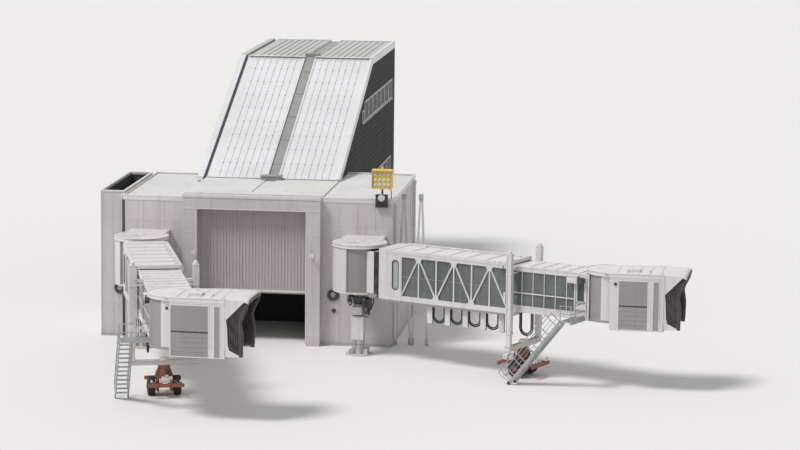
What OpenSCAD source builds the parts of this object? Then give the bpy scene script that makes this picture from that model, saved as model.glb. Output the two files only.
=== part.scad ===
// Airport gate at half scale: a fixed link that starts at a terminal wall, a portal
// with two side wings, and two telescopic boarding arms that leave them.
// Origin: centre of the right arm's pedestal on the apron. +Y to the terminal, +Z up.

/* [Gate layout] */
// From the right rotunda to the middle of the portal
portal_dx = 3800; // [3700:10:4000]
// From the right rotunda to the left one
left_dx = 7300; // [7200:10:7500]
// From the rotunda centres back to the front face of the portal and wings
face_y = 1000; // [980:5:1100]
// Direction of the right arm, degrees from +X
right_heading = -24; // [-40:1:-10]
// Direction of the left arm, degrees from +X
left_heading = -73; // [-75:1:-70]
// How far the left arm's inner tunnel is pulled out at rest
left_out = 1500; // [1300:50:1700]
// Right cab's turn against its tunnel at rest
right_cab_turn = 20; // [0:1:60]
// Left cab's turn against its tunnel at rest
left_cab_turn = 70; // [20:1:80]

/* [Rotunda] */
// Diameter of the pedestal column
column_d = 380; // [300:10:560]
// Width of the square-edged round base plate
base_d = 900; // [860:10:1100]
// Thickness of the base plate
base_t = 40; // [20:5:80]
// Pitch circle of the anchor bolts
bolt_pcd = 760; // [700:10:800]
// Number of anchor bolts
bolt_n = 8; // [6:2:16]
// Diameter of each anchor bolt hole
bolt_d = 20; // [12:1:30]
// Top of the floor that passengers walk on at the rotunda
floor_z = 2200; // [2000:10:2400]
// Thickness of floors and decks of steel
deck_t = 50; // [30:5:55]
// Radius of the rotunda floor
drum_floor_r = 880; // [860:5:900]
// Outer radius of the slat curtain of the rotunda
drum_r = 820; // [790:5:840]
// Thickness of the slat curtains
slat_t = 20; // [10:2:30]
// Radius of the rotunda roof
drum_roof_r = 900; // [885:5:960]
// Thickness of the rotunda roof
drum_roof_t = 110; // [80:10:200]
// Clear height from the rotunda floor to its roof
drum_h = 1450; // [1400:10:1500]
// Half of the clear width of the passage at the rotunda
throat_half = 520; // [480:10:540]
// Half of the clear width of the fixed lobby
lobby_half = 575; // [540:5:600]
// Wall thickness of the lobby
lobby_t = 40; // [20:5:60]

/* [Outer tunnel] */
// Half of the outer width of the outer tunnel
a_half = 725; // [705:5:800]
// Distance from the rotunda centre to the inner end of the outer tunnel
a_start = 1110; // [1100:5:1160]
// Distance from the rotunda centre to the mouth of the outer tunnel
a_end = 6000; // [5600:50:6050]
// Underside of the outer tunnel
a_z = 2100; // [2100:1:2105]
// Thickness of the outer tunnel's floor
a_floor_t = 60; // [40:5:60]
// Thickness of the outer tunnel's roof
a_roof_t = 75; // [50:5:120]
// Thickness of the lattice sides
side_t = 50; // [30:5:50]
// Length of the closed rounded panel at the inner end
a_panel_l = 900; // [840:10:1000]
// Distance from that inner end to the middle of the slot window
slot_u = 690; // [600:10:700]
// Width of the slot window
slot_w = 220; // [80:10:240]
// Height of the slot window
slot_h = 950; // [600:10:1000]
// Number of lattice bays on each side
a_bays = 6; // [4:1:8]
// Width of the lattice bars
bar_w = 44; // [30:2:60]

/* [Inner tunnel] */
// Half of the outer width of the inner tunnel
b_half = 640; // [600:5:645]
// Distance from the rotunda centre to the inner tunnel's hidden end
b_start = 1650; // [1600:10:2200]
// Distance from the rotunda centre to the inner tunnel's cab end
b_end = 8810; // [8790:5:8830]
// Space between the two tunnels' floors, where the guide pads are
pad_gap = 10; // [8:1:14]
// Space between the two tunnels' roofs
roof_gap = 30; // [20:1:40]
// Number of glazing bays on each side of the inner tunnel
b_bays = 18; // [12:1:24]
// Width of the glazing bars
mullion_w = 22; // [16:2:40]
// Thickness of the glass
glass_t = 8; // [6:1:12]

/* [Lift and drive] */
// Distance from the rotunda centre to the lift columns
lift_u = 6170; // [6150:5:6250]
// Distance from the middle of the tunnel to each lift column
lift_v = 975; // [940:5:980]
// Width of the outer lift tubes
tube_w = 180; // [160:2:190]
// Wall of the outer lift tubes
tube_t = 15; // [10:1:20]
// Top of the lift tubes
tube_top = 4050; // [3980:10:4100]
// Lower end of the lift tubes
tube_bottom = 1500; // [1490:5:1600]
// Underside of the cross beam that joins the lift legs
beam_z = 950; // [930:10:960]
// Height of the cross beam
beam_h = 150; // [120:5:150]
// Radius of the drive wheels
wheel_r = 300; // [250:5:320]
// Width of each drive wheel
wheel_w = 230; // [180:5:250]
// Distance from the middle of the bogie to each wheel
wheel_v = 400; // [390:5:450]
// Radius of the wheel axle
axle_r = 45; // [30:1:60]
// Radius of the bogie's upright pivot
king_r = 70; // [50:1:72]

/* [Cab] */
// Distance from the rotunda centre to the cab's turning centre
cab_u = 9250; // [9245:1:9260]
// Radius of the cab's round floor
cab_r = 750; // [745:1:752]
// Half of the outer width of the cab
cab_half = 850; // [830:5:880]
// Distance from the turning centre to the front of the cab
cab_front = 1750; // [1600:10:1800]
// Underside of the cab's skirt
cab_z = 1975; // [1950:5:2000]
// Top of the cab's roof
cab_top = 3760; // [3740:5:3800]
// Thickness of the cab walls
cab_t = 40; // [30:5:50]
// How far the canopy stands out in front of the cab at the top
canopy_l = 720; // [500:10:900]
// Thickness of the folded canopy
canopy_t = 130; // [80:5:180]
// Radius of the pin that the cab turns on
cab_pin_r = 60; // [40:1:80]

/* [Service stair] */
// Distance from the inner tunnel's cab end back to the stair's hinge
stair_back = 560; // [550:2:572]
// Length of the landing
landing_l = 430; // [380:10:450]
// Distance from the middle of the tunnel to the stair's near side
stair_v = 1095; // [1090:1:1110]
// Width of the stair
stair_w = 480; // [400:10:520]
// Horizontal run of the stair
stair_run = 1800; // [1780:10:1820]
// Number of treads
stair_n = 12; // [10:1:14]
// Radius of the rollers at the stair's foot
foot_r = 60; // [45:1:62]
// Height of the handrails
rail_h = 500; // [400:10:520]
// Diameter of the handrail tubes
rail_d = 24; // [16:2:30]

/* [Portal] */
// Width of the portal
portal_w = 4650; // [4600:10:4700]
// Height of the portal
portal_h = 5000; // [4950:10:5100]
// Width of each portal pillar
pillar_w = 465; // [400:5:520]
// Height of the portal's top beam
lintel_h = 465; // [400:5:520]
// Depth of the portal frame in front of the ribbed wall
recess = 400; // [300:10:500]
// Height of the drive-in opening
bay_h = 1750; // [1600:10:1900]
// Thickness of the ribbed wall in the portal
cladding_t = 50; // [30:5:80]
// Number of ribs on the ribbed wall
rib_n = 34; // [20:1:44]

/* [Fixed link] */
// Distance from the portal face to the foot of the sloping roof
slope_foot = 4400; // [4200:20:4600]
// Distance from the portal face to the top of the sloping roof
slope_top = 12900; // [12500:50:13300]
// Distance from the portal face to the terminal wall
link_l = 19650; // [19400:50:19800]
// Top of the high flat roof
link_h = 8400; // [8300:10:8600]
// Thickness of the building walls
wall_t = 100; // [80:5:120]
// Thickness of the roofs
roof_t = 100; // [80:5:120]
// Top of the lower floor of the link
lower_z = 2600; // [2560:10:2640]
// Top of the upper floor of the link
upper_z = 5550; // [5500:10:5600]
// Thickness of the link's floors
slab_t = 100; // [60:5:120]
// Width of the gutter between the two strips of roof
gutter_w = 375; // [300:5:420]
// Depth of the gutter
gutter_d = 40; // [20:5:60]
// Width of the band along the left side of the roof
band_w = 325; // [250:5:380]
// Distance between the standing seams of the roof
seam_pitch = 240; // [180:10:400]
// Height of the undercroft opening at the terminal end
croft_h = 2450; // [2300:10:2480]
// Distance from the portal face to the undercroft opening
croft_y = 16300; // [16100:50:16500]
// Diameter of the undercroft columns
croft_d = 400; // [300:10:450]
// Width of the sunk channel between that band and the roof
channel_w = 110; // [80:5:140]
// Depth of the channel
channel_d = 60; // [30:5:70]

/* [Link windows] */
// Number of windows in the lower row
low_n = 5; // [2:1:5]
// Distance from the portal face to the first window of the lower row
low_y = 12800; // [12500:50:12900]
// Distance between the windows of the lower row
low_pitch = 1200; // [1150:10:1220]
// Width of the lower windows
low_w = 1100; // [700:10:1110]
// Height of the lower windows
low_h = 1000; // [600:10:1100]
// Height of their sill above the lower floor
low_sill = 400; // [300:10:500]
// Number of windows in the upper row
up_n = 8; // [2:1:8]
// Distance from the portal face to the start of the upper row
up_y = 9800; // [9700:50:9900]
// Distance between the windows of the upper row
up_pitch = 1150; // [1100:10:1180]
// Width of the upper windows
up_w = 1050; // [700:10:1060]
// Height of the upper windows
up_h = 700; // [500:10:800]
// Distance from the high roof's top down to the head of the upper windows
up_head = 1400; // [1300:10:1500]
// How much of its pitch the first upper window loses where the slope cuts it
up_cut = 0.45; // [0.3:0.05:0.6]

/* [Wings] */
// How far the wings' fronts stand back from the portal face
wing_back = 300; // [200:10:380]
// Width of the right wing beside the portal
right_wing_w = 2400; // [2350:5:2700]
// Distance from the portal face to the rear of the right wing
right_wing_l = 6500; // [6000:50:7000]
// How far the right wing's top lies below the portal's top
right_wing_drop = 50; // [40:5:100]
// Width of the left wing beside the portal
left_wing_w = 2100; // [2050:5:2250]
// Distance from the portal face to the rear of the left wing
left_wing_l = 6000; // [5500:50:6500]
// How far the left wing's top lies below the portal's top
left_wing_drop = 150; // [130:5:200]
// Wall thickness of the wings
wing_t = 60; // [40:5:80]
// Gap between the left wing and the screen tower
tower_gap = 25; // [10:5:60]
// Width of the screen tower
tower_w = 800; // [700:10:900]
// Depth of the screen tower
tower_l = 4600; // [4000:50:5000]
// Top of the screen tower
tower_h = 4950; // [4800:10:5000]
// From the wing's front to the screen tower's front
tower_y = 400; // [200:10:1000]

/* [Masts and sign] */
// Height of the masts beside the right wing
mast_h = 5150; // [4900:10:5400]
// Spread of each mast's feet
mast_w = 500; // [400:10:600]
// Distance from the right wing's outer edge to the middle of the lamp housing
sign_in = 375; // [360:5:500]
// Width of the lamp housing above the right wing
sign_w = 650; // [500:10:700]
// Height of the lamp housing
sign_h = 620; // [500:10:750]

/* [Hidden] */

white = [0.88, 0.87, 0.85];
grey = [0.62, 0.61, 0.59];
dark = [0.25, 0.25, 0.25];
clear = [0.45, 0.55, 0.55, 0.5];
black = [0.1, 0.1, 0.1];

gap = 0.3;          // running gap at bearings, pins and guide pads
step = 5;           // free space between pieces that pass each other
roof_z = floor_z + drum_h;
stair_u = b_end - stair_back;
wing_y = face_y + wing_back;
right_wing_h = portal_h - right_wing_drop;
left_wing_h = portal_h - left_wing_drop;
low_z = lower_z + low_sill;
up_z = link_h - up_head - up_h;
panel_in = drum_r + step + 3;
pin_z = a_z - 35;
hinge_u = 1030;
hinge_v = 450;
pin_r = 20;
a_top = roof_z + a_roof_t;
b_z = a_z + a_floor_t + pad_gap;
b_top = roof_z - roof_gap;
b_deck_t = 60;
b_roof_t = 75;
b_side = 40;
cab_floor_z = b_z + b_deck_t;
cab_roof_t = cab_top - b_top - 20;
throat_t = 50;
head_z = b_top - 20;
px = -portal_dx;
link_x0 = px - portal_w / 2;
link_x1 = px + portal_w / 2;
y_foot = face_y + slope_foot;
y_top = face_y + slope_top;
y_end = face_y + link_l;
clad_y = face_y + recess;

// where each arm stands
module arm_right() { rotate([0, 0, right_heading]) children(); }
module arm_left() { translate([-left_dx, 0, 0]) rotate([0, 0, left_heading]) children(); }
module left_outer_end() { arm_left() translate([left_out, 0, 0]) children(); }
module cab_at(turn) { translate([cab_u, 0, 0]) rotate([0, 0, turn]) children(); }
module pair() { children(); mirror([0, 1, 0]) children(); }

// a box between two corners
module box(a, b) { translate(a) cube([b[0] - a[0], b[1] - a[1], b[2] - a[2]]); }

// a flat bar of width w between two points of the u-z plane, from v0 to v1
module bar(p, q, w, v0, v1) {
    d = norm([q[0] - p[0], q[1] - p[1]]);
    translate([p[0], v0, p[1]]) rotate([0, -atan2(q[1] - p[1], q[0] - p[0]), 0])
        translate([0, 0, -w / 2]) cube([d, v1 - v0, w]);
}

// part of a round wall about the Z axis, from angle p to angle q
module arc_wall(r, t, z0, z1, p, q) {
    translate([0, 0, z0]) rotate([0, 0, p])
        rotate_extrude(angle = q - p, $fn = 96) translate([r - t, 0]) square([t, z1 - z0]);
}

// rotunda: pedestal and floor stand on the apron
module pedestal() {
    color(white) difference() {
        union() {
            cylinder(h = base_t, d = base_d, $fn = 64);
            cylinder(h = floor_z - deck_t, d = column_d, $fn = 64);
            translate([0, 0, floor_z - deck_t - 100]) cylinder(h = 100, r = 400, $fn = 64);
            translate([0, 0, floor_z - deck_t]) cylinder(h = deck_t, r = drum_floor_r, $fn = 96);
            for (i = [0 : 3]) rotate([0, 0, 45 + 90 * i])
                translate([0, -12, base_t]) rotate([90, 0, 90])
                    linear_extrude(height = base_d / 2 - 20) polygon([[0, 0], [24, 0], [24, 180], [0, 180]]);
        }
        for (i = [0 : bolt_n - 1]) rotate([0, 0, 360 / bolt_n * i])
            translate([bolt_pcd / 2, 0, -1]) cylinder(h = base_t + 2, d = bolt_d, $fn = 32);
    }
}

// fixed lobby between the wing and the rotunda, with the round roof
module lobby(panels) {
    y0 = sqrt(pow(panel_in, 2) - pow(lobby_half, 2));
    color(white) {
        difference() {
            box([-lobby_half - lobby_t, 0, floor_z - deck_t], [lobby_half + lobby_t, wing_y, floor_z]);
            translate([0, 0, floor_z - deck_t - 1]) cylinder(h = deck_t + 2, r = drum_floor_r, $fn = 96);
        }
        for (s = [-1, 1]) box([s * (lobby_half + lobby_t / 2) - lobby_t / 2, y0, floor_z],
            [s * (lobby_half + lobby_t / 2) + lobby_t / 2, wing_y, roof_z]);
        translate([0, 0, roof_z]) cylinder(h = drum_roof_t, r = drum_roof_r, $fn = 96);
        box([-lobby_half - 110, 0, roof_z], [lobby_half + 110, wing_y, roof_z + drum_roof_t]);
        // fixed round wall panels beside the curtain, each with an end post
        for (p = panels) {
            arc_wall(drum_floor_r - 4, drum_floor_r - panel_in - 8, floor_z, roof_z + 20, min(p), max(p));
            rotate([0, 0, p[1]]) box([panel_in, -22, floor_z], [drum_floor_r + 12, 22, roof_z + 20]);
        }
    }
}

// turning part of the rotunda: slewing ring, throat and slat curtains
module drum(left_end, right_end) {
    ua = sqrt(pow(drum_floor_r + step, 2) - pow(throat_half, 2));
    ui = sqrt(pow(drum_r - slat_t / 2, 2) - pow(throat_half, 2)) - 10;
    z_ring = floor_z - deck_t - 70;
    color(grey) {
        difference() {
            union() {
                translate([0, 0, z_ring]) cylinder(h = 60, r = 560, $fn = 96);
                box([450, -throat_half - throat_t, z_ring], [drum_floor_r + 120, throat_half + throat_t, z_ring + 60]);
            }
            translate([0, 0, z_ring - 1]) cylinder(h = 62, r = 400 + gap, $fn = 96);
        }
        box([drum_floor_r + step, -throat_half - 1, z_ring], [drum_floor_r + 120, throat_half + 1, floor_z]);
        // flap over the gap between the rotunda floor and the tunnel floor
        box([drum_floor_r + 119, -throat_half + 10, floor_z - 20], [a_start + 70, throat_half - 10, floor_z - 8]);
        pair() {
            box([ua, throat_half, z_ring], [drum_floor_r + 120, throat_half + throat_t, floor_z + step]);
            box([ui, throat_half, floor_z + step], [drum_floor_r + 180, throat_half + throat_t, head_z]);
            for (v = [hinge_v - 50, hinge_v + 20]) {
                box([drum_floor_r + 100, v, pin_z - 30], [hinge_u, v + 30, pin_z + 30]);
                translate([hinge_u, v, pin_z]) rotate([-90, 0, 0]) cylinder(h = 30, r = 30, $fn = 32);
            }
            translate([hinge_u, hinge_v - 50, pin_z]) rotate([-90, 0, 0]) cylinder(h = 100, r = pin_r, $fn = 32);
        }
        box([drum_floor_r + step, -throat_half - 1, head_z - 40], [drum_floor_r + 180, throat_half + 1, head_z]);
        arc_wall(drum_r, slat_t, floor_z + step, roof_z - step, 39.5, left_end);
        arc_wall(drum_r, slat_t, floor_z + step, roof_z - step, right_end, -39.5);
    }
}

// plan of the outer tunnel, with its inner end rounded in
module a_plan(grow, end) {
    w = a_half + grow;
    n = lobby_half + 25 + grow;
    polygon(concat([[end, -w]], [[end, w]],
        [for (i = [0 : 6]) [a_start + (w - n) * 2.6 * (1 - sin(i * 15)), n + (w - n) * cos(i * 15)]],
        [for (i = [6 : -1 : 0]) [a_start + (w - n) * 2.6 * (1 - sin(i * 15)), -n - (w - n) * cos(i * 15)]]));
}

module tunnel_a_deck() {
    color(white) {
        translate([0, 0, a_z]) linear_extrude(height = a_floor_t) a_plan(0, a_end);
        translate([0, 0, roof_z]) linear_extrude(height = a_roof_t) a_plan(0, a_end);
        pair() {
            difference() {
                union() {
                    box([hinge_u, hinge_v - 20 + gap, pin_z - 30], [hinge_u + 260, hinge_v + 20 - gap, a_z]);
                    translate([hinge_u, hinge_v - 20 + gap, pin_z]) rotate([-90, 0, 0])
                        cylinder(h = 40 - 2 * gap, r = 30, $fn = 32);
                }
                translate([hinge_u, hinge_v - 40, pin_z]) rotate([-90, 0, 0]) cylinder(h = 80, r = pin_r + gap, $fn = 32);
                box([hinge_u - 40, hinge_v - 40, pin_z + 30], [a_start - 2, hinge_v + 40, a_z + 1]);
            }
            box([a_end - 150, 450, a_z + a_floor_t], [a_end - 20, 550, b_z - gap]);
        }
    }
}

module tunnel_a_sides() {
    z0 = a_z + a_floor_t;
    u0 = a_start + a_panel_l;
    bay = (a_end - 60 - u0) / a_bays;
    low = z0 + 100;
    high = roof_z - 110;
    color(white) difference() {
        union() {
            difference() {
                translate([0, 0, z0]) linear_extrude(height = roof_z - z0) a_plan(0, u0);
                translate([0, 0, z0 - 1]) linear_extrude(height = roof_z - z0 + 2) a_plan(-side_t, u0 + 1);
                box([a_start - 20, -n_open(), z0 - 1], [u0 + 1, n_open(), roof_z + 1]);
            }
            pair() {
                box([u0 - 1, a_half - side_t, z0], [a_end, a_half, low]);
                box([u0 - 1, a_half - side_t, high], [a_end, a_half, roof_z]);
                box([a_end - 60, a_half - side_t, z0], [a_end, a_half, roof_z]);
                for (i = [0 : a_bays - 1]) {
                    if (i % 2 == 0) bar([u0 + i * bay, low - 5], [u0 + (i + 1) * bay, high + 5], bar_w, a_half - side_t, a_half - 5);
                    else bar([u0 + i * bay, high + 5], [u0 + (i + 1) * bay, low - 5], bar_w, a_half - side_t, a_half - 5);
                    box([u0 + i * bay - bar_w / 2, a_half - side_t, z0], [u0 + i * bay + bar_w / 2, a_half - 10, roof_z]);
                }
            }
        }
        // upright slot window in each rounded panel
        for (s = [-1, 1]) translate([a_start + slot_u, s * a_half, z0 + 300]) {
            box([-slot_w / 2, -60, slot_w / 2], [slot_w / 2, 60, slot_h - slot_w / 2]);
            for (z = [slot_w / 2, slot_h - slot_w / 2]) translate([0, 60, z]) rotate([90, 0, 0])
                cylinder(h = 120, r = slot_w / 2, $fn = 32);
        }
    }
}
function n_open() = lobby_half + 24;

module tunnel_a_glass() {
    color(clear) pair() box([a_start + a_panel_l, a_half - side_t - glass_t, a_z + a_floor_t],
        [a_end - 10, a_half - side_t, roof_z]);
}

// cable trolley under the outer tunnel: rail, square carriers and hanging loops
module festoon() {
    color(white) box([1500, -560, a_z - 40], [a_end - 200, -520, a_z]);
    for (i = [0 : 7]) color(white) box([2300 + 480 * i, -562, a_z - 330], [2500 + 480 * i, -518, a_z - 40]);
    for (i = [0 : 6]) color(black) translate([2640 + 480 * i, -540, a_z - 250]) rotate([90, 180, 0])
        rotate_extrude(angle = 180, $fn = 48) translate([168, 0]) circle(r = 28, $fn = 16);
}

// inner tunnel: floor, roof, guide pads and the arm that carries the cab
module tunnel_b_deck() {
    color(white) {
        difference() {
            union() {
                box([b_start, -b_half, b_z], [b_end, b_half, b_z + b_deck_t]);
                box([b_start, -b_half, b_top - b_roof_t], [b_end, b_half, b_top]);
            }
            translate([cab_u, 0, b_z - 1]) cylinder(h = b_top - b_z + 2, r = cab_r + step, $fn = 96);
        }
        pair() box([b_start + 20, 450, b_top], [b_start + 140, 550, roof_z - gap]);
        box([cab_u - cab_r - 400, -260, b_z - 110], [cab_u - cab_r - 60, 260, b_z]);
        box([cab_u - cab_r - 100, -200, b_z - 110], [cab_u, 200, b_z - 20]);
        translate([cab_u, 0, b_z - 110]) cylinder(h = 90, r = 200, $fn = 48);
        translate([cab_u, 0, b_z - 110]) cylinder(h = 110 - gap, r = 140, $fn = 48);
        translate([cab_u, 0, b_z - 110]) cylinder(h = 110 + b_deck_t, r = cab_pin_r, $fn = 48);
    }
}

module tunnel_b_sides() {
    z0 = b_z + b_deck_t;
    z1 = b_top - b_roof_t;
    bay = (b_end - b_start) / b_bays;
    color(white) difference() {
        pair() {
            box([b_start, b_half - b_side, z0], [b_end, b_half, z0 + 160]);
            box([b_start, b_half - b_side, z1 - 60], [b_end, b_half, z1]);
            for (i = [0 : b_bays]) box([max(b_start, min(b_end - mullion_w, b_start + i * bay - mullion_w / 2)), b_half - b_side, z0],
                [max(b_start, min(b_end - mullion_w, b_start + i * bay - mullion_w / 2)) + mullion_w, b_half - 4, z1]);
            box([b_end - 60, b_half - b_side, z0], [b_end, b_half, z1]);
        }
        // doorway from the inner tunnel to the landing
        box([door_u0(), -b_half - 1, z0 + 8], [door_u0() + 380, -b_half + b_side + 1, z1 - 60]);
        // room for the turning cab
        translate([cab_u, 0, z0 - 1]) cylinder(h = z1 - z0 + 2, r = cab_r + step, $fn = 96);
    }
}
function door_u0() = stair_u + 70;

module tunnel_b_glass() {
    z0 = b_z + b_deck_t;
    color(clear) {
        box([b_start, b_half - b_side - glass_t, z0], [b_end - 60, b_half - b_side, b_top - b_roof_t]);
        box([b_start, -b_half + b_side, z0], [door_u0() - 40, -b_half + b_side + glass_t, b_top - b_roof_t]);
    }
}

// lift columns on the inner tunnel, joined by a beam under its floor
module lift_columns() {
    i = tube_w / 2 - tube_t;
    color(white) {
        pair() {
            difference() {
                box([lift_u - tube_w / 2, lift_v - tube_w / 2, tube_bottom], [lift_u + tube_w / 2, lift_v + tube_w / 2, tube_top]);
                box([lift_u - i, lift_v - i, tube_bottom - 1], [lift_u + i, lift_v + i, tube_top - tube_t]);
            }
            box([lift_u - 60, b_half, b_top - 80], [lift_u + 60, lift_v - tube_w / 2 + 1, b_top]);
        }
        box([lift_u - 80, -lift_v + tube_w / 2 - 1, b_z - 100], [lift_u + 80, lift_v - tube_w / 2 + 1, b_z]);
    }
}

// landing with its rails, hung on the side of the inner tunnel
module landing() {
    v0 = -stair_v - stair_w;
    z = b_z + b_deck_t;
    e = stair_u + landing_l;
    color(grey) {
        box([stair_u + 30, v0, z - 30], [e, -b_half, z]);
        box([stair_u + 30, v0 + 40, z - 90], [stair_u + 80, -b_half, z - 30]);
        box([e - 50, v0 + 40, z - 90], [e, -b_half, z - 30]);
        for (v = [v0, -b_half - rail_d]) for (h = [rail_h / 2, rail_h])
            box([stair_u + 30, v, z + h - rail_d], [e, v + rail_d, z + h]);
        for (h = [rail_h / 2, rail_h]) box([e - rail_d, v0, z + h - rail_d], [e, -b_half, z + h]);
        for (u = [stair_u + 30, e - rail_d]) box([u, v0, z - 30], [u + rail_d, v0 + rail_d, z + rail_h]);
        for (s = [0, 1]) translate([0, s * (stair_w - 30), 0]) difference() {
            union() {
                box([stair_u, v0, z - 60], [stair_u + 31, v0 + 30, z - 5]);
                translate([stair_u, v0, z - 33]) rotate([-90, 0, 0]) cylinder(h = 30, r = 27, $fn = 32);
            }
            translate([stair_u, v0 - 1, z - 33]) rotate([-90, 0, 0]) cylinder(h = 32, r = 12 + gap, $fn = 32);
        }
    }
}

// legs that slide in the lift tubes, and the cross beam on the bogie's pivot
module drive_beam() {
    i = tube_w / 2 - tube_t - gap;
    color(white) {
        difference() {
            box([lift_u - 75, -lift_v - 95, beam_z], [lift_u + 75, lift_v + 95, beam_z + beam_h]);
            translate([lift_u, 0, beam_z - 1]) cylinder(h = beam_h + 2, r = king_r + gap, $fn = 48);
        }
        pair() box([lift_u - i, lift_v - i, beam_z + beam_h - 1], [lift_u + i, lift_v + i, 3500]);
    }
}

module bogie() {
    color([0.62, 0.3, 0.28]) translate([lift_u, 0, 0]) difference() {
        union() {
            cylinder_at(0, 0, 600, beam_z - gap, 150);
            cylinder_at(0, 0, 600, beam_z + beam_h + 30, king_r);
            box([-150, -240, wheel_r + axle_r + 90], [150, 240, 620]);
            for (s = [-1, 1]) box([-260, s * 210 - 30, 150], [260, s * 210 + 30, 540]);
            for (s = [-1, 1]) box([s * 620 - 30, -560, 380], [s * 620 + 30, 560, 460]);
            for (s = [-1, 1]) box([-650, s * 130 - 40, 380], [650, s * 130 + 40, 460]);
            translate([0, -wheel_v - wheel_w / 2 - 30, wheel_r]) rotate([-90, 0, 0])
                cylinder(h = 2 * wheel_v + wheel_w + 60, r = axle_r, $fn = 48);
            pair() translate([0, wheel_v + wheel_w / 2 + 5, wheel_r]) rotate([-90, 0, 0])
                cylinder(h = 25, r = axle_r + 35, $fn = 48);
        }
    }
}
module cylinder_at(u, v, z0, z1, r) { translate([u, v, z0]) cylinder(h = z1 - z0, r = r, $fn = 48); }

module wheel(s) {
    color(dark) translate([lift_u, s * wheel_v - wheel_w / 2, wheel_r]) rotate([-90, 0, 0]) difference() {
        rotate_extrude($fn = 96) polygon([[axle_r + gap, 0], [150, 0], [165, 45], [200, 45], [215, 0],
            [wheel_r - 30, 0], [wheel_r, 30], [wheel_r, wheel_w - 30], [wheel_r - 30, wheel_w],
            [215, wheel_w], [200, wheel_w - 45], [165, wheel_w - 45], [150, wheel_w], [axle_r + gap, wheel_w]]);
    }
}

// cab: round floor with the square front, skirt and bumper
module cab_floor(turn) {
    z = cab_floor_z;
    color(grey) cab_at(turn) difference() {
        union() {
            translate([0, 0, b_z]) cylinder(h = b_deck_t, r = cab_r, $fn = 96);
            translate([0, 0, b_z]) linear_extrude(height = b_deck_t)
                polygon([[0, 0], [cab_wall_u0(), -cab_half], [cab_front, -cab_half], [cab_front, cab_half],
                    [cab_wall_u1(), cab_half], [cab_r - 45, 310]]);
            box([cab_wall_u0(), -cab_half, cab_z], [cab_front, -cab_half + cab_t, b_z + 1]);
            box([cab_wall_u1(), cab_half - cab_t, cab_z], [cab_front, cab_half, b_z + 1]);
            box([cab_front - cab_t, -cab_half, cab_z], [cab_front, cab_half, b_z + 1]);
            box([cab_front - 1, -cab_half + canopy_t + 20, b_z - 60], [cab_front + 180, cab_half - canopy_t - 20, z]);
        }
        translate([0, 0, b_z - 1]) cylinder(h = b_deck_t + 2, r = cab_pin_r + gap, $fn = 48);
    }
}
function cab_wall_u0() = 60;
function cab_wall_u1() = 1610;

// cab walls: white corner panel, framed panel on the right, and the slat curtains
module cab_walls(turn, left_end, right_end) {
    z0 = cab_floor_z;
    z1 = b_top + 20;
    // plan of the slanted left wall
    a = [cab_r - 45, 310];
    b = [cab_wall_u1(), cab_half];
    d = (b - a) / norm(b - a);
    n = [d[1], -d[0]] * 24;
    x = a[0] + n[0] + (cab_half - cab_t - a[1] - n[1]) * d[0] / d[1];
    color(white) cab_at(turn) {
        difference() {
            box([cab_wall_u0(), -cab_half, z0], [cab_front, -cab_half + cab_t, z1]);
            box([430, -cab_half - 1, z0 + 60], [1260, -cab_half + cab_t + 1, z1 - 100]);
            box([1400, -cab_half - 1, z0 + 60], [1560, -cab_half + cab_t + 1, z1 - 100]);
        }
        box([440, -cab_half + 12, z0 + 50], [1250, -cab_half + 24, z1 - 90]);
        box([1410, -cab_half + 12, z0 + 50], [1550, -cab_half + 24, z1 - 90]);
        box([cab_front - 60, -cab_half, z0], [cab_front, -cab_half + 260, z1]);
        translate([0, 0, z0]) linear_extrude(height = z1 - z0) polygon([a, b, [cab_front, cab_half], [cab_front, cab_half - 260],
            [cab_front - 60, cab_half - 260], [cab_front - 60, cab_half - cab_t], [x, cab_half - cab_t], a + n]);
        box([cab_wall_u0(), -cab_half + 1, z0], [cab_wall_u0() + cab_t, -cab_r + 70, z1]);
        arc_wall(cab_r - 30, slat_t, z0, z1, right_end, -85);
        arc_wall(cab_r - 30, slat_t, z0, z1, 24, left_end);
    }
}

module cab_roof(turn) {
    z0 = b_top + 20;
    color(white) cab_at(turn) {
        translate([0, 0, z0]) cylinder(h = cab_roof_t, r = cab_r + 25, $fn = 96);
        translate([0, 0, z0]) linear_extrude(height = cab_roof_t)
            polygon([[0, -cab_r], [60, -cab_half - 10], [cab_front, -cab_half - 10], [cab_front, cab_half + 10],
                [cab_wall_u1(), cab_half + 10], [300, cab_r - 90]]);
        translate([cab_front - 1, 0, 0]) rotate([90, 0, 0]) translate([0, 0, -cab_half + canopy_t + 30])
            linear_extrude(height = 2 * (cab_half - canopy_t - 30))
            polygon([[0, z0], [0, cab_top], [120, cab_top], [120, z0]]);
    }
}

// folded canopy: two cheeks and a top that reaches further than the floor
module canopy(turn) {
    z0 = cab_z + 60;
    z1 = cab_top - 10;
    zm = z1 - 420;
    color(black) cab_at(turn) translate([cab_front, 0, 0]) {
        for (s = [-1, 1]) translate([0, s * (cab_half - canopy_t / 2) + canopy_t / 2, 0]) rotate([90, 0, 0])
            linear_extrude(height = canopy_t)
            polygon([[0, z0 + 60], [0, z1], [canopy_l, z1], [canopy_l - 60, zm], [canopy_l * 0.62, z0], [60, z0]]);
        box([121, -cab_half + canopy_t - 1, z1 - 130], [canopy_l, cab_half - canopy_t + 1, z1]);
    }
}

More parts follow.
